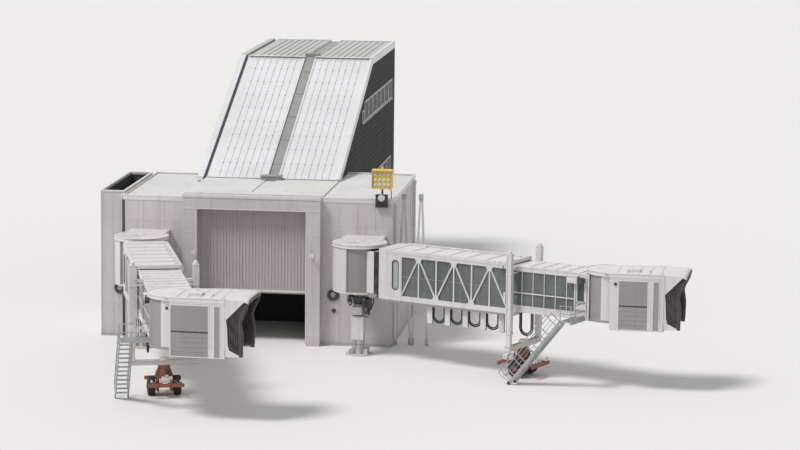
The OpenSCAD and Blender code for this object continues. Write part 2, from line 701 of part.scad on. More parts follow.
// stair on the right-hand side: it hangs on the landing and rolls on the apron
module stair() {
    rise = b_z + b_deck_t - 33;
    len = norm([stair_run, rise]);
    ang = atan2(rise, stair_run);
    v0 = -stair_v - stair_w;
    foot_d = (rise - foot_r) / sin(ang);
    color(grey) translate([stair_u, 0, rise]) rotate([0, -ang, 0]) {
        for (s = [0, 1]) translate([0, s * (stair_w - 90) + 30 + gap, 0]) {
            translate([0, v0, 0]) rotate([-90, 0, 0]) cylinder(h = 29.4, r = 26, $fn = 32);
            translate([0, v0 + 29.4, 0]) rotate([90, 0, 0]) linear_extrude(height = 29.4)
                polygon([[-len + 60, -70], [-110, -70], [-24, -20], [-24, 26], [-len + 60, 26]]);
            translate([-foot_d, v0 - 5, 0]) rotate([-90, 0, 0]) cylinder(h = 39.4, r = foot_r, $fn = 32);
        }
        translate([0, v0 - 15, 0]) rotate([-90, 0, 0]) cylinder(h = stair_w + 30, r = 12, $fn = 32);
        for (i = [1 : stair_n]) translate([-len + 60 + i * (len - 130) / (stair_n + 1), v0 + 31, -20])
            rotate([0, ang, 0]) box([-70, 0, -12], [70, stair_w - 62, 12]);
        for (s = [0, 1]) translate([0, s * (stair_w - 90) + 30, 0]) {
            box([-len + 180, v0, rail_h - rail_d], [-160, v0 + rail_d, rail_h]);
            for (k = [0 : 4]) box([-len + 180 + k * (len - 364) / 4, v0, 20], [-len + 204 + k * (len - 364) / 4, v0 + rail_d, rail_h - 1]);
        }
    }
}

// portal: pillars and top beam, with the ribbed wall set back between them
module portal_frame() {
    color(white) difference() {
        box([link_x0, face_y, 0], [link_x1, clad_y + cladding_t, portal_h]);
        box([link_x0 + pillar_w, face_y - 1, -1], [link_x1 - pillar_w, clad_y + cladding_t + 1, portal_h - lintel_h]);
    }
}

module portal_cladding() {
    w = link_x1 - link_x0 - 2 * pillar_w;
    p = w / rib_n;
    color(grey) {
        box([link_x0 + pillar_w, clad_y, bay_h], [link_x1 - pillar_w, clad_y + cladding_t, portal_h - lintel_h]);
        for (i = [0 : rib_n - 1]) box([link_x0 + pillar_w + (i + 0.25) * p, clad_y - 16, bay_h],
            [link_x0 + pillar_w + (i + 0.75) * p, clad_y + 1, portal_h - lintel_h]);
    }
}

// side wall of the link: its top follows the flat, sloping and high roofs
module link_wall() {
    y0 = clad_y + cladding_t;
    difference() {
        rotate([90, 0, 90]) linear_extrude(height = wall_t)
            polygon([[y0, 0], [face_y + croft_y, 0], [face_y + croft_y, croft_h], [y_end, croft_h], [y_end, link_h - roof_t],
                [y_top, link_h - roof_t], [y_foot, portal_h - roof_t], [y0, portal_h - roof_t]]);
        // lower row of windows
        for (i = [0 : low_n - 1]) translate([0, face_y + low_y + i * low_pitch, low_z])
            box([-1, 0, 0], [wall_t + 1, low_w, low_h]);
        // upper row, cut along the slope at its front end
        for (i = [0 : up_n - 1]) translate([0, face_y + up_y + i * up_pitch, up_z])
            box([-1, i == 0 ? up_cut * up_pitch : 0, 0], [wall_t + 1, up_w, i == 0 ? up_h * 0.57 : up_h]);
    }
}
module link_right_wall() { color(dark) translate([link_x1 - wall_t, 0, 0]) link_wall(); }
module link_left_wall() { color(grey) translate([link_x0, 0, 0]) link_wall(); }

module link_glass() {
    color(clear) for (x = [link_x0 + wall_t, link_x1 - wall_t - glass_t]) {
        box([x, face_y + low_y - 50, low_z - 40],
            [x + glass_t, face_y + low_y + (low_n - 1) * low_pitch + low_w + 50, low_z + low_h + 40]);
        box([x, face_y + up_y + up_cut * up_pitch - 50, up_z - 40],
            [x + glass_t, face_y + up_y + (up_n - 1) * up_pitch + up_w + 50, up_z + up_h + 40]);
    }
}

module link_floors() {
    x0 = link_x0 + wall_t;
    x1 = link_x1 - wall_t;
    y0 = clad_y + cladding_t;
    color(grey) {
        box([x0, y0, floor_z - slab_t], [x1, y_foot, floor_z]);
        translate([x0, 0, 0]) rotate([90, 0, 90]) linear_extrude(height = x1 - x0)
            polygon([[y_foot, floor_z - slab_t], [y_foot + 2400, lower_z - slab_t], [y_end, lower_z - slab_t],
                [y_end, lower_z], [y_foot + 2400, lower_z], [y_foot, floor_z]]);
        box([x0, y_foot + 6500, upper_z - slab_t], [x1, y_end, upper_z]);
    }
}

// closed wall behind the drive-in bay and the one in front of the undercroft
module link_cross_walls() {
    x0 = link_x0 + wall_t;
    x1 = link_x1 - wall_t;
    color(dark) {
        box([x0, y_foot - wall_t, 0], [x1, y_foot, floor_z - slab_t]);
        box([x0, face_y + croft_y - wall_t, 0], [x1, face_y + croft_y, lower_z - slab_t]);
    }
}

// roofs: two strips with standing seams on each side of a sunk gutter, and the left band
module roof_strip(pts, z_shift) {
    translate([link_x0, 0, z_shift]) rotate([90, 0, 90]) linear_extrude(height = portal_w) polygon(pts);
}
module node_roof() {
    color(white) difference() {
        box([link_x0, clad_y + cladding_t, portal_h - roof_t], [link_x1, y_foot, portal_h]);
        box([px - gutter_w / 2, clad_y + cladding_t + 600, portal_h - gutter_d], [px + gutter_w / 2, y_foot + 1, portal_h + 1]);
    }
}
module seams(pts) {
    n = floor((portal_w - gutter_w) / 2 / seam_pitch);
    for (s = [-1, 1]) for (i = [0 : n - 1])
        translate([px + s * (gutter_w / 2 + 60 + i * seam_pitch) - 10, 0, 0])
            rotate([90, 0, 90]) linear_extrude(height = 20) polygon(pts);
}
// strip along the left edge of the sloping roof, its top so high above the roof's own
module slope_band(out, w, up) {
    translate([link_x0 - out, 0, 0]) rotate([90, 0, 90]) linear_extrude(height = w)
        polygon([[y_foot - 200, left_wing_h + 40], [y_foot + 430, left_wing_h + 40], [y_top, link_h - 280],
            [y_top, link_h + up], [y_foot, portal_h + up], [y_foot - 200, portal_h + up]]);
}
module slope_roof() {
    r = roof_t;
    color(white) {
        difference() {
            roof_strip([[y_foot, portal_h - r], [y_top, link_h - r], [y_top, link_h], [y_foot, portal_h]], 0);
            translate([px - gutter_w / 2, 0, 0]) rotate([90, 0, 90]) linear_extrude(height = gutter_w)
                polygon([[y_foot - 1, portal_h - gutter_d], [y_top + 1, link_h - gutter_d], [y_top + 1, link_h + 1], [y_foot - 1, portal_h + 1]]);
        }
        seams([[y_foot, portal_h - 1], [y_top, link_h - 1], [y_top, link_h + 25], [y_foot, portal_h + 25]]);
        slope_band(band_w, band_w - channel_w, 40);
        slope_band(channel_w + 1, channel_w + 1, -channel_d);
    }
}
module upper_roof() {
    r = roof_t;
    color(grey) {
        difference() {
            roof_strip([[y_top, link_h - r], [y_end, link_h - r], [y_end, link_h], [y_top, link_h]], 0);
            box([px - gutter_w / 2, y_top - 1, link_h - gutter_d], [px + gutter_w / 2, y_end + 1, link_h + 1]);
        }
        seams([[y_top, link_h - 1], [y_end, link_h - 1], [y_end, link_h + 25], [y_top, link_h + 25]]);
        box([link_x0 - band_w, y_top, link_h - 280], [link_x0 - channel_w, y_end, link_h + 40]);
        box([link_x0 - channel_w - 1, y_top, link_h - 280], [link_x0, y_end, link_h - channel_d]);
    }
}

module undercroft_columns() {
    color(white) for (x = [link_x0 + wall_t + 250, link_x1 - wall_t - 250])
        translate([x, y_end - 2000, 0]) cylinder(h = lower_z - slab_t, d = croft_d, $fn = 48);
}

// wing: front, outer and rear walls with the lobby's doorway, and the floor inside
module wing(x0, x1, xd, l, h, outer_left) {
    t = wing_t;
    difference() {
        union() {
            box([x0, wing_y, 0], [x1, wing_y + t, h - roof_t]);
            box([x0, face_y + l - t, 0], [x1, face_y + l, h - roof_t]);
            if (outer_left) box([x0, wing_y, 0], [x0 + t, face_y + l, h - roof_t]);
            else box([x1 - t, wing_y, 0], [x1, face_y + l, h - roof_t]);
            box([x0, wing_y + t - 1, floor_z - deck_t], [x1, face_y + l - t + 1, floor_z]);
        }
        box([xd - throat_half, wing_y - 1, floor_z], [xd + throat_half, wing_y + t + 1, roof_z - 120]);
    }
}
module right_wing_walls() {
    color(white) wing(link_x1, link_x1 + right_wing_w, 0, right_wing_l, right_wing_h, false);
}
module left_wing_walls() {
    color(white) wing(link_x0 - left_wing_w, link_x0, -left_dx, left_wing_l, left_wing_h, true);
}
module wing_roof(x0, x1, l, h) {
    color(white) {
        box([x0, wing_y, h - roof_t], [x1, face_y + l, h]);
        box([x0, wing_y, h - 1], [x1, wing_y + 40, h + 40]);
        box([x0, face_y + l - 40, h - 1], [x1, face_y + l, h + 40]);
    }
}
module right_wing_roof() { wing_roof(link_x1, link_x1 + right_wing_w, right_wing_l, right_wing_h); }
module left_wing_roof() { wing_roof(link_x0 - left_wing_w, link_x0, left_wing_l, left_wing_h); }

module screen_tower() {
    x1 = link_x0 - left_wing_w;
    x0 = x1 - tower_gap - tower_w;
    y0 = wing_y + tower_y;
    color(white) {
        difference() {
            box([x0, y0, 0], [x0 + tower_w, y0 + tower_l, tower_h]);
            box([x0 + wing_t, y0 + wing_t, 60], [x0 + tower_w - wing_t, y0 + tower_l - wing_t, tower_h + 1]);
        }
        for (y = [y0 + 400, y0 + tower_l - 500]) for (z = [1200, 4200])
            box([x0 + tower_w - 1, y, z], [x1, y + 100, z + 100]);
    }
}

// two upside-down V masts beside the right wing
module masts() {
    x1 = link_x1 + right_wing_w;
    color(white) for (x = [x1 + mast_w / 2 + 60, x1 + mast_w / 2 + 630]) translate([x, face_y + 800, 0]) {
        for (s = [-1, 1]) bar([s * mast_w / 2, 10], [s * 20, mast_h - 20], 44, -22, 22);
        box([-60, -30, mast_h - 60], [60, 30, mast_h]);
        for (s = [-1, 1]) box([s * mast_w / 2 - 60, -60, 0], [s * mast_w / 2 + 60, 60, 30]);
    }
}

// lamp housing on a post at the front edge of the right wing, with a dark box under it
module sign() {
    x = link_x1 + right_wing_w - sign_in;
    z = right_wing_h + 400;
    color([0.88, 0.76, 0.35]) {
        box([x - sign_w / 2, wing_y - 40, z], [x + sign_w / 2, wing_y + 200, z + sign_h]);
        translate([x, wing_y + 80, z + sign_h]) cylinder(h = 130, r1 = 60, r2 = 15, $fn = 24);
        box([x - 30, wing_y + 50, right_wing_h], [x + 30, wing_y + 110, z]);
        box([x - 200, wing_y - 130, right_wing_h - 200], [x + 200, wing_y, right_wing_h + 200]);
        box([x - 60, wing_y - 1, right_wing_h + 42], [x + 60, wing_y + 111, right_wing_h + 200]);
    }
}

pedestal();  // right_pedestal
lobby([[-226, -114]]);  // right_lobby
arm_right() drum(82, -198);  // right_drum
arm_right() tunnel_a_deck();  // right_tunnel_a_deck
arm_right() tunnel_a_sides();  // right_tunnel_a_sides
arm_right() tunnel_a_glass();  // right_tunnel_a_glass
arm_right() festoon();  // right_festoon
arm_right() tunnel_b_deck();  // right_tunnel_b_deck
arm_right() tunnel_b_sides();  // right_tunnel_b_sides
arm_right() tunnel_b_glass();  // right_tunnel_b_glass
arm_right() lift_columns();  // right_lift_columns
arm_right() landing();  // right_landing
arm_right() drive_beam();  // right_drive_beam
arm_right() bogie();  // right_bogie
arm_right() wheel(1);  // right_wheel_1
arm_right() wheel(-1);  // right_wheel_2
arm_right() cab_floor(right_cab_turn);  // right_cab_floor
arm_right() cab_walls(right_cab_turn, 110, -150);  // right_cab_walls
arm_right() cab_roof(right_cab_turn);  // right_cab_roof
arm_right() canopy(right_cab_turn);  // right_canopy
arm_right() stair();  // right_stair
translate([-left_dx, 0, 0]) pedestal();  // left_pedestal
translate([-left_dx, 0, 0]) lobby([[-226, -133], [46, -11]]);  // left_lobby
arm_left() drum(130, -158);  // left_drum
arm_left() tunnel_a_deck();  // left_tunnel_a_deck
arm_left() tunnel_a_sides();  // left_tunnel_a_sides
arm_left() tunnel_a_glass();  // left_tunnel_a_glass
arm_left() festoon();  // left_festoon
left_outer_end() tunnel_b_deck();  // left_tunnel_b_deck
left_outer_end() tunnel_b_sides();  // left_tunnel_b_sides
left_outer_end() tunnel_b_glass();  // left_tunnel_b_glass
left_outer_end() lift_columns();  // left_lift_columns
left_outer_end() landing();  // left_landing
left_outer_end() drive_beam();  // left_drive_beam
left_outer_end() bogie();  // left_bogie
left_outer_end() wheel(1);  // left_wheel_1
left_outer_end() wheel(-1);  // left_wheel_2
left_outer_end() cab_floor(left_cab_turn);  // left_cab_floor
left_outer_end() cab_walls(left_cab_turn, 58, -201);  // left_cab_walls
left_outer_end() cab_roof(left_cab_turn);  // left_cab_roof
left_outer_end() canopy(left_cab_turn);  // left_canopy
left_outer_end() stair();  // left_stair
portal_frame();
portal_cladding();
link_right_wall();
link_left_wall();
link_glass();
link_floors();
link_cross_walls();
node_roof();
slope_roof();
upper_roof();
undercroft_columns();
right_wing_walls();
right_wing_roof();
left_wing_walls();
left_wing_roof();
screen_tower();
masts();
sign();
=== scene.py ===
"""Looks of an airport gate with two jet bridges, at 1:2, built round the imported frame."""
import math

import bmesh
import bpy
from bpy.props import FloatProperty, FloatVectorProperty, IntProperty, PointerProperty
from mathutils import Matrix, Vector


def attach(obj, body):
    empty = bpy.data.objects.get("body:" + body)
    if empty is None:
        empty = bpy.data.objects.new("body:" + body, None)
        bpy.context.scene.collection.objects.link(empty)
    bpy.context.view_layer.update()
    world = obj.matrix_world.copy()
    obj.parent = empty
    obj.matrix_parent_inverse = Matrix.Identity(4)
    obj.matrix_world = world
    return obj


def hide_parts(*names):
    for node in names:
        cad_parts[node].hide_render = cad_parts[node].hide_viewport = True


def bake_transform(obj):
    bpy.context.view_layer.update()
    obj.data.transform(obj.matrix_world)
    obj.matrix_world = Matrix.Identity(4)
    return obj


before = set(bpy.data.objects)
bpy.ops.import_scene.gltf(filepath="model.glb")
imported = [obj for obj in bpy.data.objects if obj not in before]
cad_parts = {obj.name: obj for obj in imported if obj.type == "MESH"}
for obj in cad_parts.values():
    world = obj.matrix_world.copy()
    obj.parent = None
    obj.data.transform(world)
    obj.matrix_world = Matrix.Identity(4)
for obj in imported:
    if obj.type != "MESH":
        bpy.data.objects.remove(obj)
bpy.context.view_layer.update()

bl_info = {
    "name": "Airport gate with two jet bridges",
    "version": (1, 0, 0),
    "blender": (4, 5, 0),
    "location": "View3D > Sidebar > Gate",
    "description": "Dresses the packed gate frame with its finishes, trims and fabric",
    "category": "Object",
}

SIDES = ("right", "left")


# ---------------------------------------------------------------- values


def length(name, default, text):
    return FloatProperty(name=name, description=text, default=default, unit="LENGTH", subtype="DISTANCE")


def angle(name, degrees, text):
    return FloatProperty(name=name, description=text, default=math.radians(degrees), subtype="ANGLE")


def paint(name, default, text):
    return FloatVectorProperty(name=name, description=text, default=default, subtype="COLOR", min=0.0, max=1.0)


class GateBuilding(bpy.types.PropertyGroup):
    """Sizes of the fixed building, as in the part's source."""

    face_y: length("Portal face", 1.0, "Front face of the portal, from the rotunda centres")
    clad_y: length("Cladding face", 1.4, "Front of the ribbed wall set back in the portal")
    link_x0: length("Link left", -6.125, "Left face of the covered link")
    link_x1: length("Link right", -1.475, "Right face of the covered link")
    pillar: length("Pillar width", 0.465, "Width of the portal's pillars and height of its top beam")
    portal_top: length("Portal top", 5.0, "Height of the portal and of the low flat roof")
    bay_top: length("Bay top", 1.75, "Height of the drive-in bay")
    foot_y: length("Slope foot", 5.4, "Where the roof starts to rise")
    top_y: length("Slope top", 13.9, "Where the roof is flat again")
    end_y: length("Link end", 20.65, "Where the link meets the terminal")
    link_top: length("High roof", 8.4, "Height of the high flat roof")
    gutter: length("Gutter width", 0.375, "Width of the gutter between the two roof strips")
    wing_x0: length("Left wing outer face", -8.225, "Outer face of the left wing")
    wing_x1: length("Right wing outer face", 0.925, "Outer face of the right wing")
    wing_y: length("Wing fronts", 1.3, "Front of both wings, set back from the portal")
    channel: length("Side channel width", 0.11, "Width of the sunk channel along the roof's left edge")
    right_wing_top: length("Right wing roof", 4.95, "Height of the right wing's roof")
    left_wing_top: length("Left wing roof", 4.85, "Height of the left wing's roof")
    strip_pitch: length("Cover strip pitch", 0.63, "Distance between the upright cover strips of the wings")
    right_wing_back: length("Right wing back", 7.5, "Back wall of the right wing")
    left_wing_back: length("Left wing back", 7.0, "Back wall of the left wing")
    tower_x0: length("Tower outer face", -9.05, "Outer face of the screen tower")
    tower_x1: length("Tower inner face", -8.25, "Face of the screen tower towards the left wing")
    tower_y0: length("Tower front", 1.7, "Front of the screen tower")
    tower_y1: length("Tower back", 6.3, "Back of the screen tower")
    tower_top: length("Tower top", 4.93, "Height of the screen tower's walls")
    under_y: length("Undercroft", 17.28, "Where the link stands on columns")
    under_top: length("Undercroft ceiling", 2.45, "Height of the walls' lower edge over the undercroft")
    seam_pitch: length("Seam pitch", 0.24, "Distance between the standing seams of the sloping roof")
    mast_y: length("Masts", 1.8, "Middle of the masts beside the right wing")
    mast_gap: length("Mast gap", 0.57, "Distance between the two masts")


class GateArms(bpy.types.PropertyGroup):
    """Sizes of the two boarding arms, as in the part's source."""

    left_x: length("Left rotunda", -7.3, "Place of the left rotunda; the right one is at the origin")
    right_heading: angle("Right heading", -24, "Where the right arm points")
    left_heading: angle("Left heading", -73, "Where the left arm points")
    left_out: length("Left arm pulled out", 1.5, "How far the left arm's inner tunnel stands further out at rest")
    right_cab_turn: angle("Right cab turn", 20, "How far the right cab is turned on its arm")
    left_cab_turn: angle("Left cab turn", 70, "How far the left cab is turned on its arm")
    floor: length("Rotunda floor", 2.2, "Height of the rotunda floor")
    roof: length("Rotunda ceiling", 3.65, "Underside of the rotunda roof")
    drum: length("Curtain radius", 0.82, "Outer radius of the rotunda's slat curtain")
    a_half: length("Outer tunnel half width", 0.725, "Half the width of the outer tunnel")
    a_start: length("Outer tunnel start", 1.11, "Inner end of the outer tunnel, from the rotunda centre")
    a_end: length("Outer tunnel end", 6.0, "Far end of the outer tunnel")
    a_low: length("Outer tunnel underside", 2.1, "Underside of the outer tunnel")
    a_top: length("Outer tunnel roof", 3.725, "Top of the outer tunnel")
    b_half: length("Inner tunnel half width", 0.64, "Half the width of the inner tunnel")
    b_end: length("Inner tunnel end", 8.81, "Far end of the inner tunnel")
    b_low: length("Inner tunnel underside", 2.17, "Underside of the inner tunnel")
    b_top: length("Inner tunnel roof", 3.62, "Top of the inner tunnel")
    lift_u: length("Lift columns", 6.17, "Place of the lift columns along the arm")
    lift_v: length("Lift column offset", 0.975, "Distance of the lift columns from the middle")
    wheel: length("Wheel radius", 0.3, "Radius of the drive wheels")
    wheel_v: length("Wheel offset", 0.4, "Distance of the wheels from the middle")
    wheel_w: length("Wheel width", 0.23, "Width of a drive wheel")
    cab_u: length("Cab pivot", 9.25, "Where the cab turns, along the arm")
    cab_half: length("Cab half width", 0.85, "Half the width of the cab's front")
    cab_front: length("Cab front", 1.75, "Front of the cab, from its pivot")
    cab_low: length("Cab skirt", 1.975, "Lower edge of the cab's skirt")
    cab_top: length("Cab roof", 3.76, "Top of the cab")
    canopy: length("Canopy reach", 0.72, "How far the folded canopy reaches")
    folds: IntProperty(name="Canopy folds", description="Number of folds in a canopy", default=9, min=3, max=20)
    stair_u: length("Stair hinge", 8.25, "Where the service stair hangs on the landing")
    stair_v: length("Stair near side", -1.095, "Side of the stair nearest to the tunnel")
    stair_w: length("Stair width", 0.48, "Width of the service stair")


class GatePaints(bpy.types.PropertyGroup):
    """Colours of the finishes."""

    white: paint("White paint", (0.68, 0.66, 0.635), "Tunnels, cabs and columns")
    front: paint("Front panels", (0.58, 0.55, 0.53), "Walls of the wings, the portal and the screen tower")
    ribbed: paint("Ribbed wall", (0.46, 0.42, 0.405), "The wall set back in the portal")
    # grey cladding made darker still as painted shade of the link's right side
    dark: paint("Dark cladding and painted shade", (0.05, 0.05, 0.054), "Right side of the link")
    sheet: paint("Roof sheet", (0.72, 0.72, 0.73), "Standing seam roofs")
    membrane: paint("Roof membrane", (0.52, 0.52, 0.505), "High roof and floors")
    low_roof: paint("Low roofs", (0.66, 0.65, 0.625), "Roofs of the portal and the wings")
    gutter: paint("Gutter lining", (0.3, 0.295, 0.285), "Sunk gutter of the roofs")
    grey: paint("Grey panels", (0.3, 0.285, 0.275), "Curtains and cab side panels")
    zinc: paint("Zinc", (0.46, 0.47, 0.47), "Stairs, landings and brackets")
    glass: paint("Glass", (0.15, 0.168, 0.158), "Tunnel windows")
    red: paint("Red oxide", (0.31, 0.115, 0.09), "Bogies")
    rubber: paint("Rubber", (0.022, 0.022, 0.023), "Tyres, cables and bumpers")
    fabric: paint("Canopy fabric", (0.045, 0.038, 0.034), "Folding canopies and gaiters")
    yellow: paint("Lamp yellow", (0.74, 0.52, 0.11), "Docking lamp housing")
    floor: paint("Studio floor", (0.8, 0.785, 0.76), "Plain floor of the stage")


# ---------------------------------------------------------------- finishes


class Wire:
    """A shader value in plain arithmetic: each step adds one Math node."""

    def __init__(self, graph, socket):
        self.graph, self.socket = graph, socket

    def step(self, operation, first, second=0.0):
        return self.graph.node("ShaderNodeMath", {"operation": operation}, {0: first, 1: second})

    def __add__(self, other):
        return self.step("ADD", self, other)

    def __sub__(self, other):
        return self.step("SUBTRACT", self, other)

    def __rsub__(self, other):
        return self.step("SUBTRACT", other, self)

    def __mul__(self, other):
        return self.step("MULTIPLY", self, other)

    def __truediv__(self, other):
        return self.step("DIVIDE", self, other)

    def __lt__(self, other):
        return self.step("LESS_THAN", self, other)

    def __gt__(self, other):
        return self.step("GREATER_THAN", self, other)

    __radd__, __rmul__ = __add__, __mul__

    def floor(self):
        return self.step("FLOOR", self)

    def part(self):
        return self.step("FRACT", self)

    def between(self, low, high):
        """0 below low, 1 above high and smooth between them."""
        ends = {0: self, 1: low, 2: high, 3: 0.0, 4: 1.0}
        return self.graph.node("ShaderNodeMapRange", {"interpolation_type": "SMOOTHSTEP"}, ends)


class Graph:
    """Adds nodes to one node tree, which it empties first."""

    def __init__(self, tree):
        self.nodes, self.links = tree.nodes, tree.links
        self.nodes.clear()

    def feed(self, entry, value):
        if isinstance(value, Wire):
            self.links.new(value.socket, entry)
        elif hasattr(value, "__len__"):
            entry.default_value = (tuple(value) + (1.0,))[: len(entry.default_value)]
        else:
            entry.default_value = value

    def node(self, kind, settings=(), sockets=(), output=0):
        made = self.nodes.new(kind)
        for key, value in dict(settings).items():
            setattr(made, key, value)
        for key, value in dict(sockets).items():
            self.feed(made.inputs[key], value)
        return Wire(self, made.outputs[output]) if len(made.outputs) else made

    def mix(self, share, first, second):
        return self.node("ShaderNodeMix", {"data_type": "RGBA"}, {0: share, 6: first, 7: second}, output=2)


class Finish(Graph):
    """A procedural material whose patterns lie in the row frame at rest."""

    def __init__(self, name, **constants):
        self.name, self.material = name, bpy.data.materials.new(name)
        self.material.use_nodes = True
        super().__init__(self.material.node_tree)
        self.shader = self.nodes.new("ShaderNodeBsdfPrincipled")
        output = self.nodes.new("ShaderNodeOutputMaterial")
        self.links.new(self.shader.outputs[0], output.inputs["Surface"])
        for key, value in constants.items():
            self.feed(self.shader.inputs[key.replace("_", " ")], value)
        self.place = self.node("ShaderNodeTexCoord", output="Object")
        self.x, self.y, self.z = (
            self.node("ShaderNodeSeparateXYZ", sockets={0: self.place}, output=i) for i in range(3))

    def scaled(self, *factors):
        return self.node("ShaderNodeVectorMath", {"operation": "MULTIPLY"}, {0: self.place, 1: factors})

    def noise(self, scale, detail=3.0, vector=None):
        sockets = {"Vector": vector or self.place, "Scale": scale, "Detail": detail}
        return self.node("ShaderNodeTexNoise", sockets=sockets)

    def cells(self, scale):
        return self.node("ShaderNodeTexVoronoi", sockets={"Vector": self.place, "Scale": scale}, output="Color")

    def tone_of(self, value):
        """One steady random number for each whole value."""
        return self.node("ShaderNodeTexWhiteNoise", {"noise_dimensions": "1D"}, {"W": value.floor()})

    def relief(self, height, strength, depth):
        bump = self.node("ShaderNodeBump", sockets={"Height": height, "Strength": strength, "Distance": depth})
        self.feed(self.shader.inputs["Normal"], bump)

    def surface(self, colour, roughness):
        self.feed(self.shader.inputs["Base Color"], colour)
        self.feed(self.shader.inputs["Roughness"], roughness)


def shade(colour, factor):
    return tuple(min(1.0, c * factor) for c in colour)


def weathered(name, colour, dirt, rough, panel=None, panel_share=0.0, run=5.0, **constants):
    """Paint or sheet with broad fading, rain runs, specks of dirt and an optional tone for each panel."""
    look = Finish(name, **constants)
    fade = look.noise(0.55, 4.0).between(0.3, 0.7)
    runs = look.noise(1.0, 5.0, look.scaled(run, run, 0.3)).between(0.5, 0.72)
    specks = look.noise(9.0, 6.0).between(0.6, 0.74)
    fine = look.noise(26.0)
    splash = 1.0 - look.z.between(0.02, 0.5)
    soil = tuple(a * b for a, b in zip(colour, (0.52, 0.47, 0.4)))
    tone = look.mix(fade, shade(colour, 0.94), shade(colour, 1.03))
    if panel:
        tone = look.mix(look.tone_of(panel(look)) * panel_share, tone, shade(colour, 0.72))
    for share in (runs * (dirt * 0.55), specks * (dirt * 0.45), splash * fine * dirt):
        tone = look.mix(share, tone, soil)
    look.surface(tone, (fine - 0.5) * 0.16 + runs * 0.12 + rough)
    look.relief(fine, 0.12, 0.002)
    return look


def glazed(name, pane_of, tones, tone_share, film, film_share, haze, rough, **constants):
    """Glass with a tone for each pane, under a smeared film of dust."""
    look = Finish(name, IOR=1.5, **constants)
    smear = look.noise(1.3, 5.0).between(0.4, 0.75)
    pane = look.mix(look.tone_of(pane_of(look)) * tone_share, *tones)
    look.surface(look.mix(smear * film_share, pane, film), smear * haze + rough)
    return look


def zinc_spangle(colour):
    zinc = Finish("galvanised", Metallic=0.55)
    spangle = zinc.node("ShaderNodeSeparateColor", sockets={0: zinc.cells(55.0)})
    dull = zinc.noise(4.0, 5.0).between(0.35, 0.7)
    tone = zinc.mix(spangle * 0.6, shade(colour, 0.82), shade(colour, 1.12))
    zinc.surface(zinc.mix(dull * 0.5, tone, shade(colour, 0.6)), spangle * 0.12 + dull * 0.15 + 0.4)
    zinc.relief(spangle, 0.1, 0.001)
    return zinc


def dusty_rubber(colour):
    rubber = Finish("rubber")
    dust = rubber.noise(3.0, 6.0).between(0.45, 0.75)
    pores = rubber.noise(90.0, 2.0)
    rubber.surface(rubber.mix(dust * 0.45, colour, (0.12, 0.11, 0.095)), pores * 0.15 + 0.72)
    rubber.relief(pores, 0.25, 0.002)
    return rubber


def woven_fabric(colour, threads=420.0):
    """Dark coated cloth; threads is their number in a metre."""
    fabric = Finish("canopy_fabric", Sheen_Weight=0.25, Sheen_Roughness=0.6)
    weave = (fabric.z * threads).part() * ((fabric.x + fabric.y) * threads).part()
    worn = fabric.noise(2.2, 6.0).between(0.42, 0.72)
    tone = fabric.mix(worn * 0.5, colour, shade(colour, 2.3))
    fabric.surface(fabric.mix(weave * 0.3, tone, shade(colour, 0.6)), worn * 0.1 + 0.82)
    fabric.relief(weave, 0.3, 0.001)
    return fabric


def lamp_lens():
    lamp = Finish("lamp_glass", Coat_Weight=0.6, Coat_Roughness=0.1)
    facets = lamp.node("ShaderNodeSeparateColor", sockets={0: lamp.cells(60.0)})
    lamp.surface(lamp.mix(facets * 0.4, (0.55, 0.55, 0.5), (0.85, 0.85, 0.8)), facets * 0.15 + 0.12)
    lamp.relief(facets, 0.3, 0.002)
    return lamp


def lamp_housing(colour, box_top=5.3):
    """Yellow above box_top and dark below it: the lamp housing and the box under it are one CAD node."""
    sign = weathered("docking_lamp", colour, 0.5, 0.45)
    entry = sign.shader.inputs["Base Color"]
    lit = Wire(sign, entry.links[0].from_socket)
    sign.feed(entry, sign.mix(sign.z < box_top, lit, (0.03, 0.03, 0.032)))
    return sign


def make_finishes(paints):
    looks = (
        weathered("white_paint", paints.white, 0.5, 0.42),
        weathered("front_panels", paints.front, 0.45, 0.55, lambda f: f.x / 0.63 + 0.5, 0.12),
        weathered("ribbed_wall", paints.ribbed, 0.4, 0.55, lambda f: f.x / 0.6567, 0.16, run=9.0),
        # the link's right side: dark grey cladding, darkened further as painted shade
        weathered("dark_cladding", paints.dark, 0.3, 0.8, lambda f: f.y / 1.15, 0.3, Specular_IOR_Level=0.12),
        weathered("roof_sheet", paints.sheet, 0.3, 0.38, lambda f: f.x / 0.24 + 0.4, 0.07, Metallic=0.15),
        weathered("roof_membrane", paints.membrane, 0.4, 0.7, lambda f: f.x / 0.48, 0.04),
        weathered("low_roof", paints.low_roof, 0.32, 0.7),
        weathered("gutter_lining", paints.gutter, 0.5, 0.6),
        weathered("grey_panels", paints.grey, 0.35, 0.5),
        weathered("red_oxide", paints.red, 0.9, 0.62),
        weathered("lamp_yellow", paints.yellow, 0.5, 0.45),
        weathered("dark_steel", (0.05, 0.052, 0.055), 0.7, 0.5),
        weathered("frosted_pane", (0.42, 0.44, 0.43), 0.4, 0.25),
        zinc_spangle(paints.zinc),
        glazed("tinted_glass", lambda f: (f.x + f.y) / 0.71, (paints.glass, shade(paints.glass, 1.5)), 0.35,
               (0.42, 0.44, 0.42), 0.2, 0.14, 0.06, Alpha=0.68),
        glazed("window_glass", lambda f: f.y / 1.2, ((0.03, 0.045, 0.045), (0.075, 0.1, 0.1)), 0.5,
               (0.2, 0.21, 0.2), 0.15, 0.12, 0.07),
        dusty_rubber(paints.rubber),
        woven_fabric(paints.fabric),
        lamp_lens(),
        lamp_housing(paints.yellow),
    )
    return {look.name: look.material for look in looks}


FINISHES = {}

